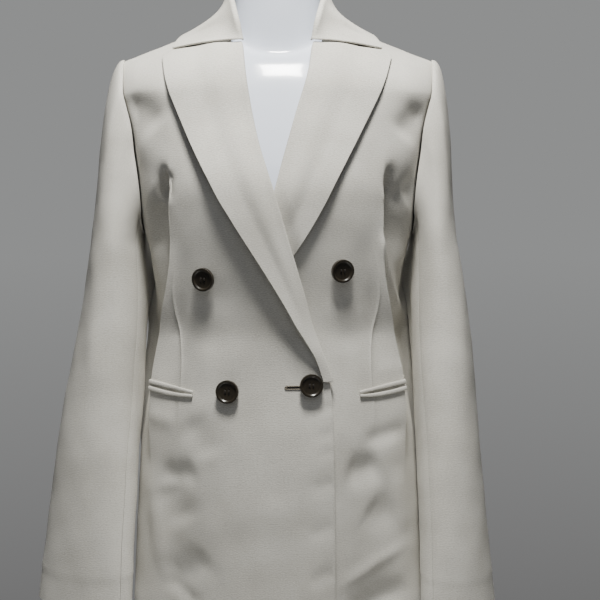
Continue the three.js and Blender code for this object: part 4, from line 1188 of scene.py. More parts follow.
@dataclass
class Body:
    """Fronts, side panels and backs. trims are the jets of each half's pocket, and are not used."""

    crepe: bpy.types.Material
    trims: Dict[Hand, List[bpy.types.Object]]
    row_step: float = 4.6
    seam_angle: float = SEAM_GAP / 2 / 112
    centre_angle: float = 0.0003
    front_columns: Tuple[int, int, int] = (36, 13, 20)  # to the dart, to the crease and to the side
    rim_angle: float = 0.012
    calm_above: float = 610  # the height above which creases end at the armhole
    calm_reach: float = 16
    dip_start: float = 540  # where a side panel starts to dip under the arm
    neck_back_x: float = 48

    def rows(self, level: float) -> Array:
        """Height coordinates from the hem over the shoulder, where the strings start at a level.

        Args:
            level: Where the strings start.

        Returns:
            The coordinates.
        """
        below = spread(HEM_Z, level, self.row_step)[:-2]
        above = spread(level, level + STRING_SPAN - SEAM_GAP * 1.3, 2.6)[2:]
        return np.concatenate([below, [level], above])

    def front(self, hand: Hand) -> Array:
        """The outer face of a front panel, from its edge or roll line to the side seam and armhole.

        Args:
            hand: The half of the garment.

        Returns:
            A grid whose rows run up from the hem.
        """
        rows = self.rows(CHEST_Z)
        level = np.minimum(rows, CHEST_Z)
        string = np.clip((rows - CHEST_Z) / STRING_SPAN, 0, 1)
        roll = lerp(TORSO.roll.at(hand.lap.value, level), TORSO.neck_x + 0.5, string)
        arm = lerp(TORSO.armhole.at("front", level), TORSO.shoulder_tip[0], string)
        seam = np.radians(TORSO.lines.at("front_seam", rows)) - self.seam_angle
        outer = np.where(rows > SIDE_SEAM_Z, TORSO.angle_at(arm, level), seam)
        inner = TORSO.angle_at(roll, level)
        dart = np.maximum(np.radians(TORSO.lines.at("dart", rows)), lerp(inner, outer, 0.3))
        crease = np.maximum(np.radians(TORSO.lines.at("crease", rows)), lerp(inner, outer, 0.5))
        stations = [inner, dart, crease, outer]
        parts = []
        for count, a, b in zip(self.front_columns, stations[:-1], stations[1:]):
            share = np.linspace(0, 1, count + 1)
            close = 0.3 / count
            share = np.sort(np.concatenate([share, [close, 2.2 * close, 1 - 2.2 * close, 1 - close]]))
            parts.append(lerp(a[:, None], b[:, None], share[None, : None if b is outer else -1]))
        angles = np.concatenate(parts, 1)
        angles = np.insert(angles, 1, angles[:, 0] + self.rim_angle * 0.9, axis=1)
        angles = np.insert(angles, -1, angles[:, -1] - self.rim_angle, axis=1)
        heights = rows[:, None] + 0 * angles
        at = TORSO.plain(angles, heights)
        lift = TORSO.front_lift(hand.lap, at[..., 0], at[..., 2])
        points = TORSO.cloth(angles, heights, lift)
        share = near_edge(points, rows, self.calm_above, self.calm_reach)
        return creased(points, BODY_CREASES, hand, share)

    def side(self, hand: Hand) -> Array:
        """The outer face of a side panel, whose top dips under the arm.

        Args:
            hand: The half of the garment.

        Returns:
            A grid whose rows run up from the hem.
        """
        rows = spread(HEM_Z, SIDE_SEAM_Z, self.row_step)
        start = np.radians(TORSO.lines.at("front_seam", rows)) + self.seam_angle
        end = np.radians(TORSO.lines.at("back_seam", rows)) - self.seam_angle
        along = shares(28)[None, :]
        middle = ((np.pi / 2 - start) / (end - start))[:, None]
        share = (np.maximum(0, rows - self.dip_start) / (SIDE_SEAM_Z - self.dip_start))[:, None]
        out = np.where(along < middle, 1 - along / middle, (along - middle) / (1 - middle))
        heights = rows[:, None] - share * (SIDE_SEAM_Z - UNDERARM_Z) * (1 - out**2)
        return creased(TORSO.cloth(lerp(start[:, None], end[:, None], along), heights), BODY_CREASES, hand)

    def back(self, hand: Hand) -> Array:
        """The outer face of a back panel, from the side seam to the centre back.

        Args:
            hand: The half of the garment.

        Returns:
            A grid whose rows run up from the hem.
        """
        rows = self.rows(BLADE_Z)
        level = np.minimum(rows, BLADE_Z)
        string = np.clip((rows - BLADE_Z) / STRING_SPAN, 0, 1)
        arm = lerp(TORSO.armhole.at("back", level), TORSO.shoulder_tip[0], string)
        seam = np.radians(TORSO.lines.at("back_seam", rows)) + self.seam_angle
        outer = np.where(rows > SIDE_SEAM_Z, TORSO.back_angle_at(arm, level), seam)
        neck = TORSO.back_angle_at(lerp(self.neck_back_x, TORSO.neck_x, string), level)
        part = shares(30, 0.01)
        far = lerp(outer[:, None], neck[:, None], part[None, :-1])
        near = lerp(neck[:, None], np.pi - self.centre_angle, part[None, 1:])
        angles = np.concatenate([far, near], 1)
        points = TORSO.cloth(angles, rows[:, None] + 0 * angles)
        share = near_edge(points[:, ::-1], rows, self.calm_above, self.calm_reach)[:, ::-1]
        return creased(points, BODY_CREASES, hand, share)

    def build(self) -> List[bpy.types.Object]:
        """Cuts and hangs the six panels, and returns the fronts.

        Returns:
            The two fronts.
        """
        fronts = []
        for hand in Hand:
            name = hand.value
            made = {
                f"front_{name}": (self.front(hand), ("outer", "top")),
                f"side_{name}": (self.side(hand), ("inner", "outer", "top")),
                f"back_{name}": (self.back(hand), ("inner", "outer", "top")),
            }
            for node_name, (points, sewn) in made.items():
                piece = ClothPiece(f"cloth_{node_name}", points, hand, sewn)
                made_piece = hang(piece, self.crepe, node_name)
                if node_name.startswith("front"):
                    fronts.append(made_piece)
        return fronts


@dataclass
class Lapels:
    """The two peak lapels, each folded back from its front along a soft roll."""

    crepe: bpy.types.Material
    edge: Profile = Profile(
        (440, 456, 472, 494, 532, 575, 618, 660, 704, 742, 768, 795),
        upper=(-54, -47, -38, -26, -7, 18, 44, 68, 91, 109, 119.5, 126),
        under=(-54, -47, -38, -28, -9, 15, 41, 63, 85.5, 104.5, 116.5, 125),
    )
    roll_top_z: float = 810
    peak_z: float = 795.5
    gorge_rise: float = 5.2
    gorge_end: float = 0.88  # where the gorge ends and the peak's own edge starts
    turn_radius: float = CLOTH + LAPEL_GAP / 2
    turn_degrees: float = 150
    roll_inset: float = 2.5
    least_width: float = 9
    clearance: float = 0.5
    belly: float = 3.6  # how far it stands out between its roll and its edge
    lay: float = 0.6  # how far its edge stands off, and the most that this grows midway up
    spring_upper: float = 11.0
    spring_under: float = 5.0

    def face(self, hand: Hand) -> Array:
        """The lapel's outer face, with the roll that turns it under along its inner edge.

        Args:
            hand: The half of the garment.

        Returns:
            A grid whose rows run up from the break and whose columns run out from the roll.
        """
        lap = hand.lap
        low = 0.12 if lap is Lap.UNDER else 0.0
        before = np.linspace(0, self.gorge_end, 28)
        after = self.gorge_end + np.array([0.02, 0.05, 0.08, 0.105, 0.12]) * (1 - self.gorge_end) / 0.12
        across = np.concatenate([before, after])[None, :]
        up = lerp(low, 1.0, shares(100, 0.004))[:, None] + 0 * across
        roll_z = lerp(BREAK_Z + 2, self.roll_top_z, up)
        edge_z = lerp(BREAK_Z + 2, self.peak_z, up)
        roll_x = TORSO.roll.at(lap.value, roll_z) - self.roll_inset
        edge_x = np.maximum(self.edge.at(lap.value, edge_z), roll_x + self.least_width)
        x = lerp(roll_x, edge_x, across)
        peak = np.where(across < self.gorge_end, across / self.gorge_end, (1 - across) / (1 - self.gorge_end))
        z = lerp(roll_z, edge_z, across) + self.gorge_rise * peak * smooth(0.8, 1, up)
        fullness = self.belly * smooth(0.12, 0.55, up) * (1 - 0.4 * up)
        belly = fullness * np.sin(np.pi * np.minimum(across * 1.6, 1)) ** 2
        opening = smooth(0, 0.2, up) * (1 - smooth(0.55, 1, up))
        most = self.spring_upper if lap is Lap.UPPER else self.spring_under
        spring = across * (self.lay + most * opening)
        covered = 1.0 if lap is Lap.UPPER else smooth(0, 20, x + TORSO.roll.at("upper", z))
        rest = LAPEL_GAP + CLOTH + self.clearance + 0.4 * smooth(0.78, 0.92, up)
        points = TORSO.on_front(lap, x, z, rest + (belly + spring) * covered)
        return self._rolled(creased(points, (), hand, 0.5))

    def _rolled(self, points: Array) -> Array:
        """Adds columns that turn the cloth under along the first one.

        Args:
            points: The lapel's face.

        Returns:
            The wider grid.
        """
        normals = grid_normals(points)[:, 0]
        inward = unit(points[:, 0] - points[:, 2])
        angles = np.radians(np.linspace(self.turn_degrees, 0, 9)[:-1])
        turned = [
            points[:, 0] + self.turn_radius * (np.sin(a) * inward - (1 - np.cos(a)) * normals) for a in angles
        ]
        return np.concatenate([np.stack(turned, 1), points], 1)

    def build(self) -> None:
        """Folds back both lapels."""
        for hand in Hand:
            piece = ClothPiece(f"cloth_lapel_{hand.value}", self.face(hand), hand, ("top",), seam_depth=0.7)
            hang(piece, self.crepe, f"lapel_{hand.value}")


@dataclass(frozen=True)
class Station:
    """A point of the collar. One with no y lies on the body."""

    x: float
    z: float
    y: Optional[float] = None


def spline(points: Array, shares_along: Array) -> Array:
    """Points on a centripetal Catmull-Rom curve through others.

    Args:
        points: The points it runs through.
        shares_along: Shares from 0 at the first to 1 at the last, even by point.

    Returns:
        The points on it.
    """
    padded = np.concatenate([[2 * points[0] - points[1]], points, [2 * points[-1] - points[-2]]])
    place = np.clip(shares_along, 0, 1) * (len(points) - 1)
    i = np.minimum(place.astype(int), len(points) - 2)
    w = (place - i)[:, None]
    p0, p1, p2, p3 = (padded[i + k] for k in range(4))
    d0, d1, d2 = (
        np.maximum(np.linalg.norm(b - a, axis=1, keepdims=True) ** 0.5, 1e-4)
        for a, b in ((p0, p1), (p1, p2), (p2, p3))
    )
    t1 = ((p1 - p0) / d0 - (p2 - p0) / (d0 + d1) + (p2 - p1) / d1) * d1
    t2 = ((p2 - p1) / d1 - (p3 - p1) / (d1 + d2) + (p3 - p2) / d2) * d1
    return p1 + t1 * w + (-3 * p1 + 3 * p2 - 2 * t1 - t2) * w**2 + (2 * p1 - 2 * p2 + t1 + t2) * w**3


@dataclass
class Collar:
    """The collar's fall and its stand."""

    crepe: bpy.types.Material
    fold: Tuple[Station, ...] = (
        Station(40, 810.3), Station(46.5, 838, -58), Station(53, 862, -28), Station(56.5, 873, 6),
        Station(50, 876, 37), Station(28, 878, 58), Station(0, 879, 65),
    )
    hollow: Tuple[Station, ...] = (
        Station(78, 806.2), Station(72, 824), Station(70, 842, -27), Station(72.5, 846, 8),
        Station(64, 850, 46), Station(37, 856, 69), Station(0, 857, 76),
    )
    edge: Tuple[Station, ...] = (
        Station(115, 802.8), Station(113, 811), Station(109, 818), Station(104, 826.9, 11),
        Station(88, 823), Station(46, 823), Station(0, 822),
    )
    seam_start: float = 0.74
    seam_out: float = 1.5
    seam_rise: float = 1.1
    seam_back_x: Tuple[float, ...] = (57, 31, 0)
    turn_radius: float = 1.7
    turn_degrees: float = 130
    fold_lift: float = 1.5
    hollow_lift: float = 2.5
    stand_inset: float = 0.7
    neck_centre_y: float = 6

    def line(self, stations: Sequence[Station], lift: float, along: Array) -> Array:
        """A smooth curve through the stations, from gorge to gorge round the back.

        Args:
            stations: The points of the wearer's left half.
            lift: How far those on the body stand off it.
            along: Shares of the way.

        Returns:
            The points on the curve.
        """
        placed = []
        for i, s in enumerate(stations):
            x, z = np.array([s.x]), np.array([s.z])
            if s.y is not None:
                placed.append(np.array([[s.x, s.y, s.z]]))
            elif i < len(stations) / 2:
                placed.append(TORSO.on_front(Lap.UNDER, x, z, lift))
            else:
                height = TORSO.height_at(x, z, True)
                placed.append(TORSO.cloth(TORSO.back_angle_at(x, np.array([BLADE_Z])), height, lift))
        return self.round_neck(np.concatenate(placed), along)

    @staticmethod
    def round_neck(half: Array, along: Array) -> Array:
        """A curve through points of the left half, the last at the centre back, and their mirror images."""
        other = half[:-1][::-1] * (-1, 1, 1)
        return spline(np.concatenate([half, other]), along)

    def fall(self) -> Array:
        """The outer face of the fall, from its edge up over its fold.

        Returns:
            A grid whose rows run from gorge to gorge.
        """
        along = lerp(0.001, 0.999, shares(190, 0.003))
        lines = [
            self.line(self.fold, LAPEL_GAP + CLOTH + self.fold_lift, along),
            self.line(self.hollow, LAPEL_GAP + CLOTH + self.hollow_lift, along),
            self.line(self.edge, LAPEL_GAP + CLOTH, along),
        ]
        down = shares(22, 0.02)[None, :, None]
        top, hollow, edge = (line[:, None] for line in lines)
        middle = 2 * hollow - (top + edge) / 2
        points = top * (1 - down) ** 2 + middle * 2 * down * (1 - down) + edge * down**2
        return self._rolled(points)

    def _rolled(self, points: Array) -> Array:
        """Adds columns that turn the cloth in along the fold, towards the stand.

        Args:
            points: The fall's face.

        Returns:
            The wider grid.
        """
        first, second = points[:, 0], points[:, 2]
        upward = unit(first - second)
        inward = unit(np.cross(upward, np.gradient(first, axis=0)))
        neck = np.array([0.0, self.neck_centre_y, 0.0]) - first
        neck[:, 2] = 0
        inward *= np.sign((inward * neck).sum(1))[:, None]
        angles = np.radians(np.linspace(self.turn_degrees, 0, 8)[:-1])
        turned = [first + self.turn_radius * (np.sin(a) * upward + (1 - np.cos(a)) * inward) for a in angles]
        return np.concatenate([np.stack(turned, 1), points], 1)

    def stand(self) -> Array:
        """The face of the stand, from its fold down inside to the neck seam.

        Returns:
            A grid whose rows run from gorge to gorge.
        """
        along = lerp(0.001, 0.999, shares(150, 0.003))
        top = self.line(self.fold[2:], 0, along)
        throat_x = lerp(TORSO.roll.at("under", CHEST_Z), TORSO.neck_x, self.seam_start) + self.seam_out
        angle = TORSO.angle_at(np.array([throat_x]), CHEST_Z)
        start_height = np.array([CHEST_Z + STRING_SPAN * self.seam_start])
        places = [TORSO.cloth(angle, start_height, SEAM_GAP + self.seam_rise)[0]]
        for x, behind in [(TORSO.neck_x, False), *((x, True) for x in self.seam_back_x)]:
            y, z = TORSO.shoulder_seam(np.array(x, float), behind)
            out = (self.seam_out, 0.0) if behind else (0.0, self.seam_rise)
            places.append(np.array([x + self.seam_out * x / TORSO.neck_x, y + out[0], z + SEAM_GAP + out[1]]))
        foot = self.round_neck(np.array(places), along)
        inward = unit(np.stack([-top[:, 0], self.neck_centre_y - top[:, 1], 0 * top[:, 0]], 1))
        inward *= CLOTH + self.stand_inset
        down = lerp(0.02, 1.0, shares(12, 0.02))[None, :, None]
        return lerp((top + inward)[:, None], foot[:, None], down)

    def build(self) -> None:
        """Makes the fall and the stand."""
        fall = ClothPiece("cloth_collar_fall", self.fall()[::-1], sewn=("top", "bottom"), seam_depth=0.6)
        hang(fall, self.crepe, "collar_fall")
        stand = ClothPiece("cloth_collar_stand", self.stand()[::-1])
        hang(stand, self.crepe, "collar_stand")


@dataclass
class Sleeves:
    """Two long wide sleeves, each of a top and an under piece."""

    crepe: bpy.types.Material
    right: Profile = Profile(
        (188, 250, 296, 353, 411, 454, 519, 590),
        x=(219, 214, 210, 205, 199, 194, 187, 183.5),
        y=(-51, -46, -41, -33, -23, -16, -6, 0),
        half_width=(62, 57, 54, 49, 46, 42, 37, 30),
        half_depth=(27, 31, 35, 41, 48, 54, 62, 68),
        turn=(25, 23, 20, 15, 10, 6, 2, 0),
    )
    left: Profile = Profile(
        (188, 241, 294, 348, 401, 458, 519, 590),
        x=(203.5, 200, 197, 193.5, 190.5, 187.5, 184, 179),
        y=(-60, -55, -48, -39, -29, -18, -7, 0),
        half_width=(47, 43, 40, 37, 36, 35, 32, 25.5),
        half_depth=(37, 41, 45, 50, 54, 59, 64, 68),
        turn=(25, 23, 20, 16, 11, 6, 2, 0),
    )
    cuff_dip: float = 7
    hem_turn: float = 35  # depth of the hem that is turned in at the cuff
    front_seam: float = 0.41
    back_seam: float = 0.72
    seam_rise: float = 2.12  # the sleeve stands on the body's edge
    lap_over: float = 4.8  # and laps over it
    tuck: Swell = Swell(11.5, 0.6, 0.055, 552, 27)  # the cloth behind the elbow leans in to the waist
    left_tuck: Swell = Swell(4, 0.6, 0.06, 498, 34)
    hem_step: float = 0.45  # how far the turned hem stands out, and the line pressed above it
    hem_line: float = 0.35
    cap_rows: int = 56
    tube_rows: int = 96

    def surface(self, hand: Hand, way: Array, down: Array) -> Array:
        """Places on a sleeve's outer face.

        Args:
            hand: Which sleeve.
            way: Shares of the way round, from the shoulder to the front, the underarm and the back.
            down: 0 at the armhole, 1 at the upper arm and 2 at the cuff.

        Returns:
            The places.
        """
        table = self.left if hand is Hand.LEFT else self.right
        cuff_z, top_z = table.z[0], table.z[-1]
        z = lerp(top_z, cuff_z, np.clip(down - 1, 0, 1))
        out = table.at("half_width", z) * np.cos(2 * np.pi * way)
        forward = table.at("half_depth", z) * np.sin(2 * np.pi * way)
        tuck = self.tuck.lift(way % 1, z)
        if hand is Hand.LEFT:
            tuck = tuck + self.left_tuck.lift(way % 1, z)
        turn = np.radians(table.at("turn", z))
        dip = self.cuff_dip * smooth(1.8, 2, down) * np.sin(2 * np.pi * way)
        ring = np.stack(
            [
                table.at("x", z) + out * np.cos(turn) + forward * np.sin(turn) * 0.5 - tuck,
                table.at("y", z) - forward * np.cos(turn) + out * np.sin(turn),
                z - dip,
            ],
            -1,
        )
        start = self._armhole(way)
        t = np.clip(down, 0, 1)[..., None]
        drop = (start - ring)[..., 2]
        gap_y = (ring - start)[..., 1]
        outer = (1 + np.cos(2 * np.pi * way)) / 2
        leave = np.stack([4 + 0.2 * drop + 26 * outer**4, gap_y * 0.9, -0.03 * drop], -1)
        arrive = np.stack([0.14 * drop * outer, gap_y * 0.2, -1.06 * drop], -1)
        cap = start + (ring - start) * (3 * t**2 - 2 * t**3)
        cap = cap + leave * (t - 2 * t**2 + t**3) + arrive * (t**3 - t**2)
        return np.where((down >= 1)[..., None], ring, cap)

    def _armhole(self, way: Array) -> Array:
        """Where the sleeve is set into the armhole.

        Args:
            way: Shares of the way round the sleeve.

        Returns:
            The places.
        """
        turn = way % 1
        behind = turn > 0.5
        share = np.where(behind, 2 - turn * 2, turn * 2)
        tip_z = TORSO.shoulder_tip[2]
        middle, half = (tip_z + UNDERARM_Z) / 2, (tip_z - UNDERARM_Z) / 2
        z = middle + half * np.cos(np.pi * share) - 0.01
        return TORSO.armhole_point(z, behind, self.seam_rise, self.lap_over)

    def piece(self, hand: Hand, start: float, end: float, count: int) -> Array:
        """The outer face of one piece of a sleeve between two seams.

        Args:
            hand: Which sleeve.
            start: The share of the way round where it begins.
            end: The share where it ends.
            count: How many columns it has.

        Returns:
            A grid whose rows run up from the cuff.
        """
        gap = SEAM_GAP / 2 / 180
        way = lerp(start + gap, end - gap, shares(count, 0.008))[None, :]
        cap = [np.linspace(0, 0.03, 3)[:-1], np.linspace(0.03, 1, self.cap_rows)[:-1]]
        tube = [np.linspace(1, 1.997, self.tube_rows), [2.0]]
        way, down = np.broadcast_arrays(way, np.concatenate(cap + tube)[::-1, None])
        return self._hemmed(creased(self.surface(hand, way, down), SLEEVE_CREASES, hand))

    def _hemmed(self, points: Array) -> Array:
        """Presses a faint line round the sleeve where the turned hem ends inside.

        Args:
            points: The sleeve's outer face.

        Returns:
            The pressed grid.
        """
        above = run(points, 0)
        step = self.hem_step * (1 - smooth(self.hem_turn - 1.5, self.hem_turn + 1.5, above))
        line = -self.hem_line * bell(above, self.hem_turn, 2.2)
        return points + grid_normals(points) * (step + line)[..., None]

    def build(self) -> None:
        """Makes both sleeves."""
        for hand in Hand:
            name = hand.value
            top = self.piece(hand, self.back_seam - 1, self.front_seam, 62)
            under = self.piece(hand, self.front_seam, self.back_seam, 34)
            for part, points in (("top", top[:, ::-1]), ("under", under[:, ::-1])):
                piece = ClothPiece(f"cloth_{part}_sleeve_{name}", points, hand, ("inner", "outer", "top"))
                hang(piece, self.crepe, f"{part}_sleeve_{name}")


@dataclass
class Pockets:
    """Hip pockets with two jets each."""

    crepe: bpy.types.Material
    inner_x: float = 90
    inner_z: float = 427
    outer_z: float = 436
    jet_height: float = 5.0
    jet_gap: float = 0.6
    mouth_opening: float = 2.2
    sag: float = 1.4
    jet_thickness: float = 1.8
    jet_taper: Point2 = (0.62, 0.38)  # share of its height at its ends, and what the middle adds
    crown: float = 0.9
    crown_sink: float = 0.5
    clearance: float = 0.7

    def jet(self, hand: Hand, above: bool) -> Array:
        """The face of one jet, rounded across, above or below the pocket's mouth.

        Args:
            hand: The half of the garment.
            above: Whether it is the upper jet.

        Returns:
            A grid whose rows run up.
        """
        start = TORSO.angle_at(np.array([self.inner_x]), np.array([self.inner_z]))[0]
        end = np.radians(TORSO.lines.at("front_seam", np.array([self.outer_z]))[0] - 1)
        angle = lerp(start, end, shares(46, 0.012))[None, :]
        up = shares(8, 0.08)[:, None]
        along = (angle - start) / (end - start)
        full = np.sin(np.pi * np.clip(along, 0.01, 0.99))
        mouth = lerp(self.inner_z, self.outer_z, along) - self.sag * full
        side = 1 if above else -1
        least, more = self.jet_taper
        height_here = self.jet_height * (least + more * full**0.6)
        offset = (self.jet_gap + self.mouth_opening * full) / 2 + height_here * (up if above else 1 - up)
        height = mouth + side * offset
        angle = angle + 0 * height
        at = TORSO.plain(angle, height)
        crown = self.crown * np.sqrt(np.clip(1 - (2 * up - 1) ** 2, 0, 1)) - self.crown_sink
        lift = TORSO.front_lift(hand.lap, at[..., 0], at[..., 2]) + self.clearance + self.jet_thickness
        return creased(TORSO.cloth(angle, height, lift + crown), BODY_CREASES, hand)

    def build(self) -> Dict[Hand, List[bpy.types.Object]]:
        """Makes the four jets.

        Returns:
            The jets of each half.
        """
        made: Dict[Hand, List[bpy.types.Object]] = {hand: [] for hand in Hand}
        for hand in Hand:
            for part, above in (("upper", True), ("lower", False)):
                node_name = f"pocket_{part}_jet_{hand.value}"
                face, wall = self.jet(hand, above), self.jet_thickness
                strip = ClothPiece(f"cloth_{node_name}", face, hand, thickness=wall, soften=0.5)
                jet = add_piece(strip.name, self.crepe, strip.build()[0])
                made[hand].append(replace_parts(jet, node_name))
        return made


@dataclass
class Buttons:
    """Four-hole horn buttons with a raised rim, sewn on with thread."""

    horn: bpy.types.Material
    thread: bpy.types.Material
    radius: float = 12.6
    thickness: float = 4.2
    rim: float = 2.0
    shank: float = 3.0
    shank_radius: float = 3.0
    hole_radius: float = 1.1
    hole_spacing: float = 2.0
    hole_depth: float = 3.2
    drill_clearance: float = 0.8  # how far the drill starts above the rim
    rim_slope: Point2 = (1.3, 1.35)  # how far the rim's inside slopes in, and how deep
    dish: Point2 = (3.0, 0.35)  # and the hollow inside it
    back_crown: float = 0.3
    back_slope: float = 0.3  # share of the radius that slopes
    edge_round: float = 0.45
    strand_offset: float = 0.45
    strand_radius: float = 0.38
    strand_flatness: float = 0.42
    thread_level: float = 0.62  # share of the thickness
    probe: float = 40  # height from which the cloth under a button is felt for
    lean_radius: float = 0.85  # share of the radius at which it is felt for, round the shank
    lean_gap: float = 0.6  # share of the shank that the cloth may rise beside it
    foot_sink: float = 0.1
    names: Tuple[str, ...] = (
        "button_upper_right",
        "button_lower_right",
        "button_lower_left",
        "button_upper_left",
    )

    def blank(self) -> bpy.types.Object:
        """A button about its own centre, facing +Z, with its underside's middle at the origin.

        Returns:
            The object, in metres.
        """
        piece = cylinder(72, self.radius, self.thickness, (0, 0, self.shank))
        bpy.ops.object.mode_set(mode="EDIT")
        pick_cap(piece, 1)
        bpy.ops.mesh.inset(thickness=self.rim * MM, depth=0)
        for reach, depth in (self.rim_slope, self.dish):
            bpy.ops.mesh.inset(thickness=reach * MM, depth=-depth * MM)
        pick_cap(piece, -1)
        slope = self.radius * self.back_slope
        bpy.ops.mesh.inset(thickness=slope * MM, depth=self.back_crown * MM)
        bpy.ops.mesh.inset(thickness=(self.radius - slope - self.shank_radius) * MM, depth=0)
        bpy.ops.mesh.extrude_region_move(TRANSFORM_OT_translate={"value": (0, 0, -self.shank * MM)})
        bpy.ops.object.mode_set(mode="OBJECT")
        for across, along in ((1, 1), (1, -1), (-1, 1), (-1, -1)):
            self._drill(piece, across * self.hole_spacing, along * self.hole_spacing)
        apply_modifier(
            piece, "BEVEL", width=self.edge_round * MM, segments=3, limit_method="ANGLE", angle_limit=0.5
        )
        set_smooth(piece, 35)
        return piece

    def _drill(self, piece: bpy.types.Object, x: float, y: float) -> None:
        """Cuts one hole down into the middle of the button.

        Args:
            piece: The button.
            x: How far the hole is to the right of the middle.
            y: How far it is above it.
        """
        low = self.shank + self.thickness - self.hole_depth
        drill = cylinder(20, self.hole_radius, self.hole_depth + self.drill_clearance, (x, y, low))
        apply_modifier(piece, "BOOLEAN", operation="DIFFERENCE", object=drill, solver="EXACT")
        bpy.data.objects.remove(drill)

    def stitches(self) -> bpy.types.Object:
        """The thread that crosses between the holes, about the button's own centre.

        Returns:
            The object, in metres.
        """
        parts = []
        level = self.shank + self.thickness * self.thread_level
        for side in (-1, 1):
            for strand in (-self.strand_offset, self.strand_offset):
                bpy.ops.object.select_all(action="DESELECT")
                bpy.ops.mesh.primitive_torus_add(
                    location=((side * self.hole_spacing + strand) * MM, 0, level * MM),
                    rotation=(0, np.pi / 2, 0),
                    major_radius=self.hole_spacing * MM,
                    minor_radius=self.strand_radius * MM,
                    major_segments=28,
                    minor_segments=10,
                )
                parts.append(bpy.context.active_object)
                parts[-1].scale = (self.strand_flatness, 1, 1)
        select_only(parts[0])
        for ring in parts:
            ring.select_set(True)
        bpy.ops.object.transform_apply(location=True, rotation=True, scale=True)
        bpy.ops.object.join()
        set_smooth(bpy.context.active_object, 60)
        return bpy.context.active_object

    @staticmethod
    def place_of(node_name: str) -> Matrix:
        """Where a packed button stands: its underside's middle, with +Z along its own axis.

        Args:
            node_name: The button's CAD node.

        Returns:
            The matrix that takes the blank there.
        """
        corners = np.array([v.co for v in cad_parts[node_name].data.vertices])
        corners = np.unique(np.round(corners, 6), axis=0)
        centre = corners.mean(0)
        axis = np.linalg.svd(corners - centre)[2][2]
        axis *= -np.sign(axis[1])
        low = ((corners - centre) @ axis).min()
        turn = Vector(axis).to_track_quat("Z", "Y").to_matrix().to_4x4()
        return Matrix.Translation(Vector(centre + axis * low)) @ turn

    def set_on(self, place: Matrix, cloths: Sequence[bpy.types.Object]) -> Matrix:
        """Moves a button's place along its own axis until its shank stands on the cloth.

        Args:
            place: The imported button's place.
            cloths: The fronts that may lie under it.

        Returns:
            The moved place.
        """
        axis = place.to_3x3() @ Vector((0, 0, 1))
        above = self.probe * MM
        heights = []
        for turn in np.linspace(0, 2 * np.pi, 13):
            reach = 0 if turn == 0 else self.radius * self.lean_radius * MM
            start = place @ Vector((reach * np.cos(turn), reach * np.sin(turn), above))
            hits = [cloth.ray_cast(start, -axis) for cloth in cloths]
            heights.append(max((above - (hit[1] - start).length for hit in hits if hit[0]), default=0.0))
        lean = max(heights) - self.shank * self.lean_gap * MM
        rise = max(heights[0], lean) - self.foot_sink * MM
        LOG.info("button raised by %.1f mm, the cloth varies by %.1f mm", rise / MM, np.ptp(heights) / MM)
        return Matrix.Translation(axis * rise) @ place

    def build(self, cloths: Sequence[bpy.types.Object]) -> None:
        """Places a copy of the button and its thread over each packed one, on the cloth.

        Args:
            cloths: The fronts.
        """
        blank, stitches = self.blank(), self.stitches()
        for name in self.names:
            place = self.set_on(self.place_of(name), cloths)
            made = []
            for source, slot, material, title in (
                (blank, "horn", self.horn, f"horn_{name}"),
                (stitches, "crepe", self.thread, f"thread_{name}"),
            ):
                copy = bpy.data.objects.new(title, source.data.copy())
                bpy.context.scene.collection.objects.link(copy)
                copy.data.transform(place)
                made.append(add_piece(title, material, copy))
            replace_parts(made[0], name)
        for source in (blank, stitches):
            bpy.data.objects.remove(source)


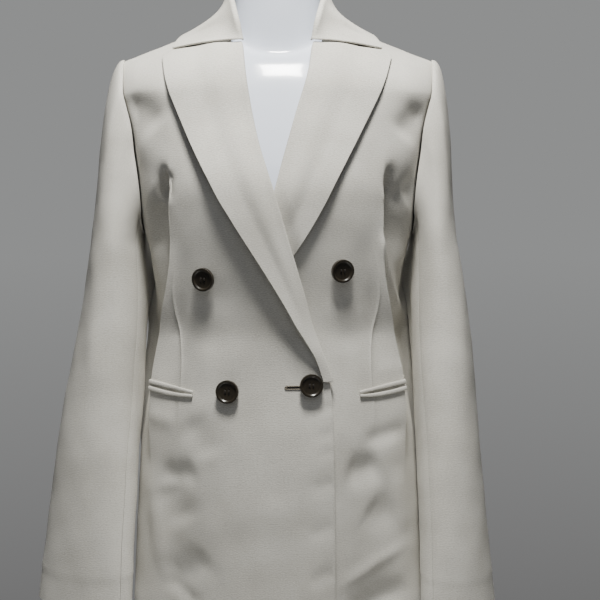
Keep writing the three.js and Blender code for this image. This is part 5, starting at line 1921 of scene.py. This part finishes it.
@dataclass
class Buttonhole:
    """The stitched buttonhole beside the button that closes the front, with a dark sheet in its slit as
    painted shade.
    """

    thread: bpy.types.Material
    # painted shade: the finish of the dark sheet laid in the slit
    dark: bpy.types.Material
    left: Point2 = (10.5, 436.2)  # x and z of its bar, seen from the front
    right: Point2 = (36.0, 436.6)
    half_height: float = 1.7
    stitch_radius: float = 0.75
    stitch_height: float = 0.15  # its middle above the cloth
    slit_inset: float = 0.4
    slit_thickness: float = 0.5
    bar_radius: float = 0.9
    bar_shape: Tuple[float, float, float] = (0.8, 3.0, 0.9)

    def ring(self) -> bpy.types.Object:
        """The stitches round the slit: a ring drawn out to the slit's length.

        Returns:
            The object, in metres.
        """
        bpy.ops.object.select_all(action="DESELECT")
        bpy.ops.mesh.primitive_torus_add(
            major_radius=self.half_height * MM,
            minor_radius=self.stitch_radius * MM,
            major_segments=32,
            minor_segments=10,
        )
        return self._drawn_out(bpy.context.active_object)

    def slit(self) -> bpy.types.Object:
        """A dark sheet in the slit: painted shade for its inside."""
        low = (0, 0, -self.slit_thickness / 2)
        return self._drawn_out(cylinder(16, self.half_height - self.slit_inset, self.slit_thickness, low))

    def bar(self) -> bpy.types.Object:
        """The bar across the slit's end, a short upright winding of thread.

        Returns:
            The object, in metres.
        """
        bpy.ops.object.select_all(action="DESELECT")
        bpy.ops.mesh.primitive_uv_sphere_add(segments=16, ring_count=10, radius=self.bar_radius * MM)
        piece = bpy.context.active_object
        piece.scale = self.bar_shape
        bpy.ops.object.transform_apply(location=True, rotation=True, scale=True)
        return piece

    def _drawn_out(self, piece: bpy.types.Object) -> bpy.types.Object:
        """Moves the half of a round piece at +X to the buttonhole's far end.

        Args:
            piece: The round piece.

        Returns:
            The piece, drawn out.
        """
        length = (self.right[0] - self.left[0]) * MM
        bpy.ops.object.mode_set(mode="EDIT")
        bpy.ops.mesh.select_all(action="DESELECT")
        bpy.ops.object.mode_set(mode="OBJECT")
        for vertex in piece.data.vertices:
            vertex.select = vertex.co.x > 1e-6
        bpy.ops.object.mode_set(mode="EDIT")
        bpy.ops.transform.translate(value=(length, 0, 0))
        bpy.ops.mesh.select_all(action="DESELECT")
        bpy.ops.object.mode_set(mode="OBJECT")
        apply_modifier(piece, "SUBSURF", levels=1, render_levels=1)
        return piece

    def lay_on(self, piece: bpy.types.Object, cloth: bpy.types.Object) -> None:
        """Bends a flat piece onto the cloth, from its bar's place on.

        Args:
            piece: The piece, flat about the origin and facing +Z.
            cloth: The front that it is sewn on.
        """
        slope = (self.right[1] - self.left[1]) / (self.right[0] - self.left[0])
        for vertex in piece.data.vertices:
            across, up, off = vertex.co
            start = Vector((self.left[0] * MM + across, -0.3, self.left[1] * MM + up + slope * across))
            found, place, normal, _ = cloth.ray_cast(start, Vector((0, 1, 0)))
            vertex.co = place + normal * (off + self.stitch_height * MM) if found else start
        set_smooth(piece, 60)

    def build(self, cloth: bpy.types.Object) -> None:
        """Sews the buttonhole on the upper front."""
        for title, made, material in (
            ("stitches", self.ring(), self.thread),
            # The slit piece is a dark sheet that paints the shade inside the slit.
            ("slit", self.slit(), self.dark),
            ("bar", self.bar(), self.thread),
        ):
            self.lay_on(made, cloth)
            add_piece(f"buttonhole_{title}", material, made)


@dataclass
class DressForm:
    """The limbless form under the garment, smooth and whole."""

    lacquer: bpy.types.Material

    def build(self) -> None:
        """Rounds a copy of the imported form."""
        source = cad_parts["dress_form"]
        piece = bpy.data.objects.new(FORM_PIECE, source.data.copy())
        bpy.context.scene.collection.objects.link(piece)
        select_only(piece)
        bpy.ops.object.mode_set(mode="EDIT")
        bpy.ops.mesh.select_all(action="SELECT")
        bpy.ops.mesh.remove_doubles(threshold=0.01 * MM)
        bpy.ops.mesh.tris_convert_to_quads(face_threshold=np.radians(60), shape_threshold=np.radians(60))
        bpy.ops.mesh.select_all(action="DESELECT")
        bpy.ops.object.mode_set(mode="OBJECT")
        apply_modifier(piece, "SUBSURF", levels=2, render_levels=2)
        set_smooth(piece, 60)
        add_piece(FORM_PIECE, self.lacquer, piece)
        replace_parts(piece, "dress_form")


@dataclass
class Stand:
    """The form's pole and its round base."""

    steel: bpy.types.Material
    base_radius: float = 150
    base_thickness: float = 10
    edge_round: float = 4
    pole_radius: float = 12.5
    pole_top: float = 204.7
    pole_edge_round: float = 1.2
    disc_inset: float = 60

    def base(self) -> bpy.types.Object:
        """The round base: a disc with its upper edge rounded.

        Returns:
            The object, in metres.
        """
        piece = cylinder(160, self.base_radius, self.base_thickness, (0, 0, 0))
        self._round_top(piece, self.edge_round, 6)
        bpy.ops.object.mode_set(mode="EDIT")
        pick_cap(piece, 1)
        bpy.ops.mesh.inset(thickness=self.disc_inset * MM, depth=0)
        bpy.ops.object.mode_set(mode="OBJECT")
        set_smooth(piece, 35)
        return piece

    def pole(self) -> bpy.types.Object:
        """The pole: a tube with a softened top.

        Returns:
            The object, in metres.
        """
        low = self.base_thickness + SEAM_GAP
        piece = cylinder(64, self.pole_radius, self.pole_top - low, (0, 0, low))
        self._round_top(piece, self.pole_edge_round, 3)
        set_smooth(piece, 35)
        return piece

    @staticmethod
    def _round_top(piece: bpy.types.Object, reach: float, segments: int) -> None:
        """Rounds the edge of a piece's top face.

        Args:
            piece: The piece.
            reach: The radius.
            segments: How many faces round it off.
        """
        bpy.ops.object.mode_set(mode="EDIT")
        pick_cap(piece, 1)
        bpy.ops.mesh.bevel(offset=reach * MM, segments=segments, profile=0.5)
        bpy.ops.object.mode_set(mode="OBJECT")

    def build(self) -> None:
        """Makes the stand."""
        for made, node_name in ((self.base(), "stand_base"), (self.pole(), "stand_pole")):
            piece = add_piece(f"steel_{node_name}", self.steel, made)
            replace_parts(piece, node_name)


@dataclass(frozen=True)
class SoftBox:
    """A square soft light that faces the garment's chest. Its sizes are metres and its power is watts."""

    name: str
    place: Tuple[float, float, float]
    size: float
    power: float
    colour: str
    aim: Tuple[float, float, float] = (0, 0, 0.5)

    def build(self) -> None:
        """Hangs the light."""
        data = bpy.data.lights.new(self.name, "AREA")
        data.shape, data.size, data.energy = "SQUARE", self.size, self.power
        data.color = linear(self.colour)[:3]
        lamp = bpy.data.objects.new(self.name, data)
        bpy.context.scene.collection.objects.link(lamp)
        lamp.location = self.place
        lamp.rotation_mode = "QUATERNION"
        lamp.rotation_quaternion = (Vector(self.aim) - Vector(self.place)).to_track_quat("-Z", "Y")


@dataclass
class Studio:
    """Camera, lights, floor and surroundings."""

    camera_place: Tuple[float, float, float] = (0.025, -1.6, 0.639)  # metres
    camera_pitch: float = -4.111  # degrees above the horizon
    lens: float = 83.48
    sensor: float = 36
    floor_side: float = 1.1  # metres
    lights: Tuple[SoftBox, ...] = (
        SoftBox("key", (0.03, -0.56, 1.75), 0.3, 35.5, "#fffdf6"),
        SoftBox("front", (-0.05, -1.75, 1.6), 0.7, 2.4, "#eef4ff"),
        SoftBox("back", (0.3, 1.8, 1.9), 1.2, 12, "#ffffff"),
    )
    high_grey: str = "#929393"
    # painted shade of the backdrop near the floor
    low_grey: str = "#737373"
    ambient_grey: str = "#48494b"
    grey_span: Point2 = (-0.28, -0.04)  # slopes of view between which the low grey turns to the high one

    def build(self) -> None:
        """Sets up the studio."""
        data = bpy.data.cameras.new("camera")
        data.lens, data.sensor_width = self.lens, self.sensor
        camera = bpy.data.objects.new("camera", data)
        bpy.context.scene.collection.objects.link(camera)
        camera.location = self.camera_place
        camera.rotation_euler = (np.radians(90 + self.camera_pitch), 0, 0)
        bpy.context.scene.camera = camera
        for light in self.lights:
            light.build()
        self.world()
        bpy.ops.object.select_all(action="DESELECT")
        bpy.ops.mesh.primitive_plane_add(size=self.floor_side, location=(0, 0, 0))
        floor = bpy.context.active_object
        floor.name = "studio_floor"
        floor.data.materials.append(MattPaint().material())

    def world(self) -> None:
        """Gives the surroundings a plain grey with painted shade that darkens it towards the floor, and a
        weak even light.
        """
        world = bpy.data.worlds.new("studio")
        bpy.context.scene.world = world
        world.use_nodes = True
        tree = world.node_tree
        tree.nodes.clear()
        place = node(tree, "TexCoord")
        split = node(tree, "SeparateXYZ", {0: place.outputs["Generated"]})
        low, high = self.grey_span
        rise = node(tree, "MapRange", {"Value": split.outputs["Z"], "From Min": low, "From Max": high})
        greys = {0: rise.outputs[0], 6: linear(self.low_grey), 7: linear(self.high_grey)}
        grey = node(tree, "Mix", greys, data_type="RGBA")
        seen = node(tree, "Background", {"Color": grey.outputs[2]})
        ambient = node(tree, "Background", {"Color": linear(self.ambient_grey)})
        path = node(tree, "LightPath")
        ways = {0: path.outputs["Is Camera Ray"], 1: ambient.outputs[0], 2: seen.outputs[0]}
        node(tree, "OutputWorld", {0: node(tree, "MixShader", ways).outputs[0]})


def main() -> None:
    """Builds every sub-assembly in order."""
    logging.basicConfig(level=logging.INFO, format="%(name)s: %(message)s")
    Studio().build()
    crepe = WovenCrepe().material()
    DressForm(GlossLacquer().material()).build()
    Stand(SatinSteel().material()).build()
    fronts = Body(crepe, Pockets(crepe).build()).build()
    Lapels(crepe).build()
    Collar(crepe).build()
    Sleeves(crepe).build()
    dark_thread = SewingThreadAndPaintedShade(pale="#2c2622", deep="#171310").material()
    Buttons(PolishedHorn().material(), dark_thread).build(fronts)
    upper_front = next(front for front in fronts if front.name == "cloth_front_right")
    grey_thread = SewingThreadAndPaintedShade(pale="#8b857a", deep="#5d564c").material()
    # Painted shade: the slit's inside is a dark sheet in the colours of thread and cloth in deep shade.
    painted_slit_shade = SewingThreadAndPaintedShade(pale="#26211d", deep="#120f0d").material()
    Buttonhole(grey_thread, painted_slit_shade).build(upper_front)


if __name__ == "__main__":
    main()
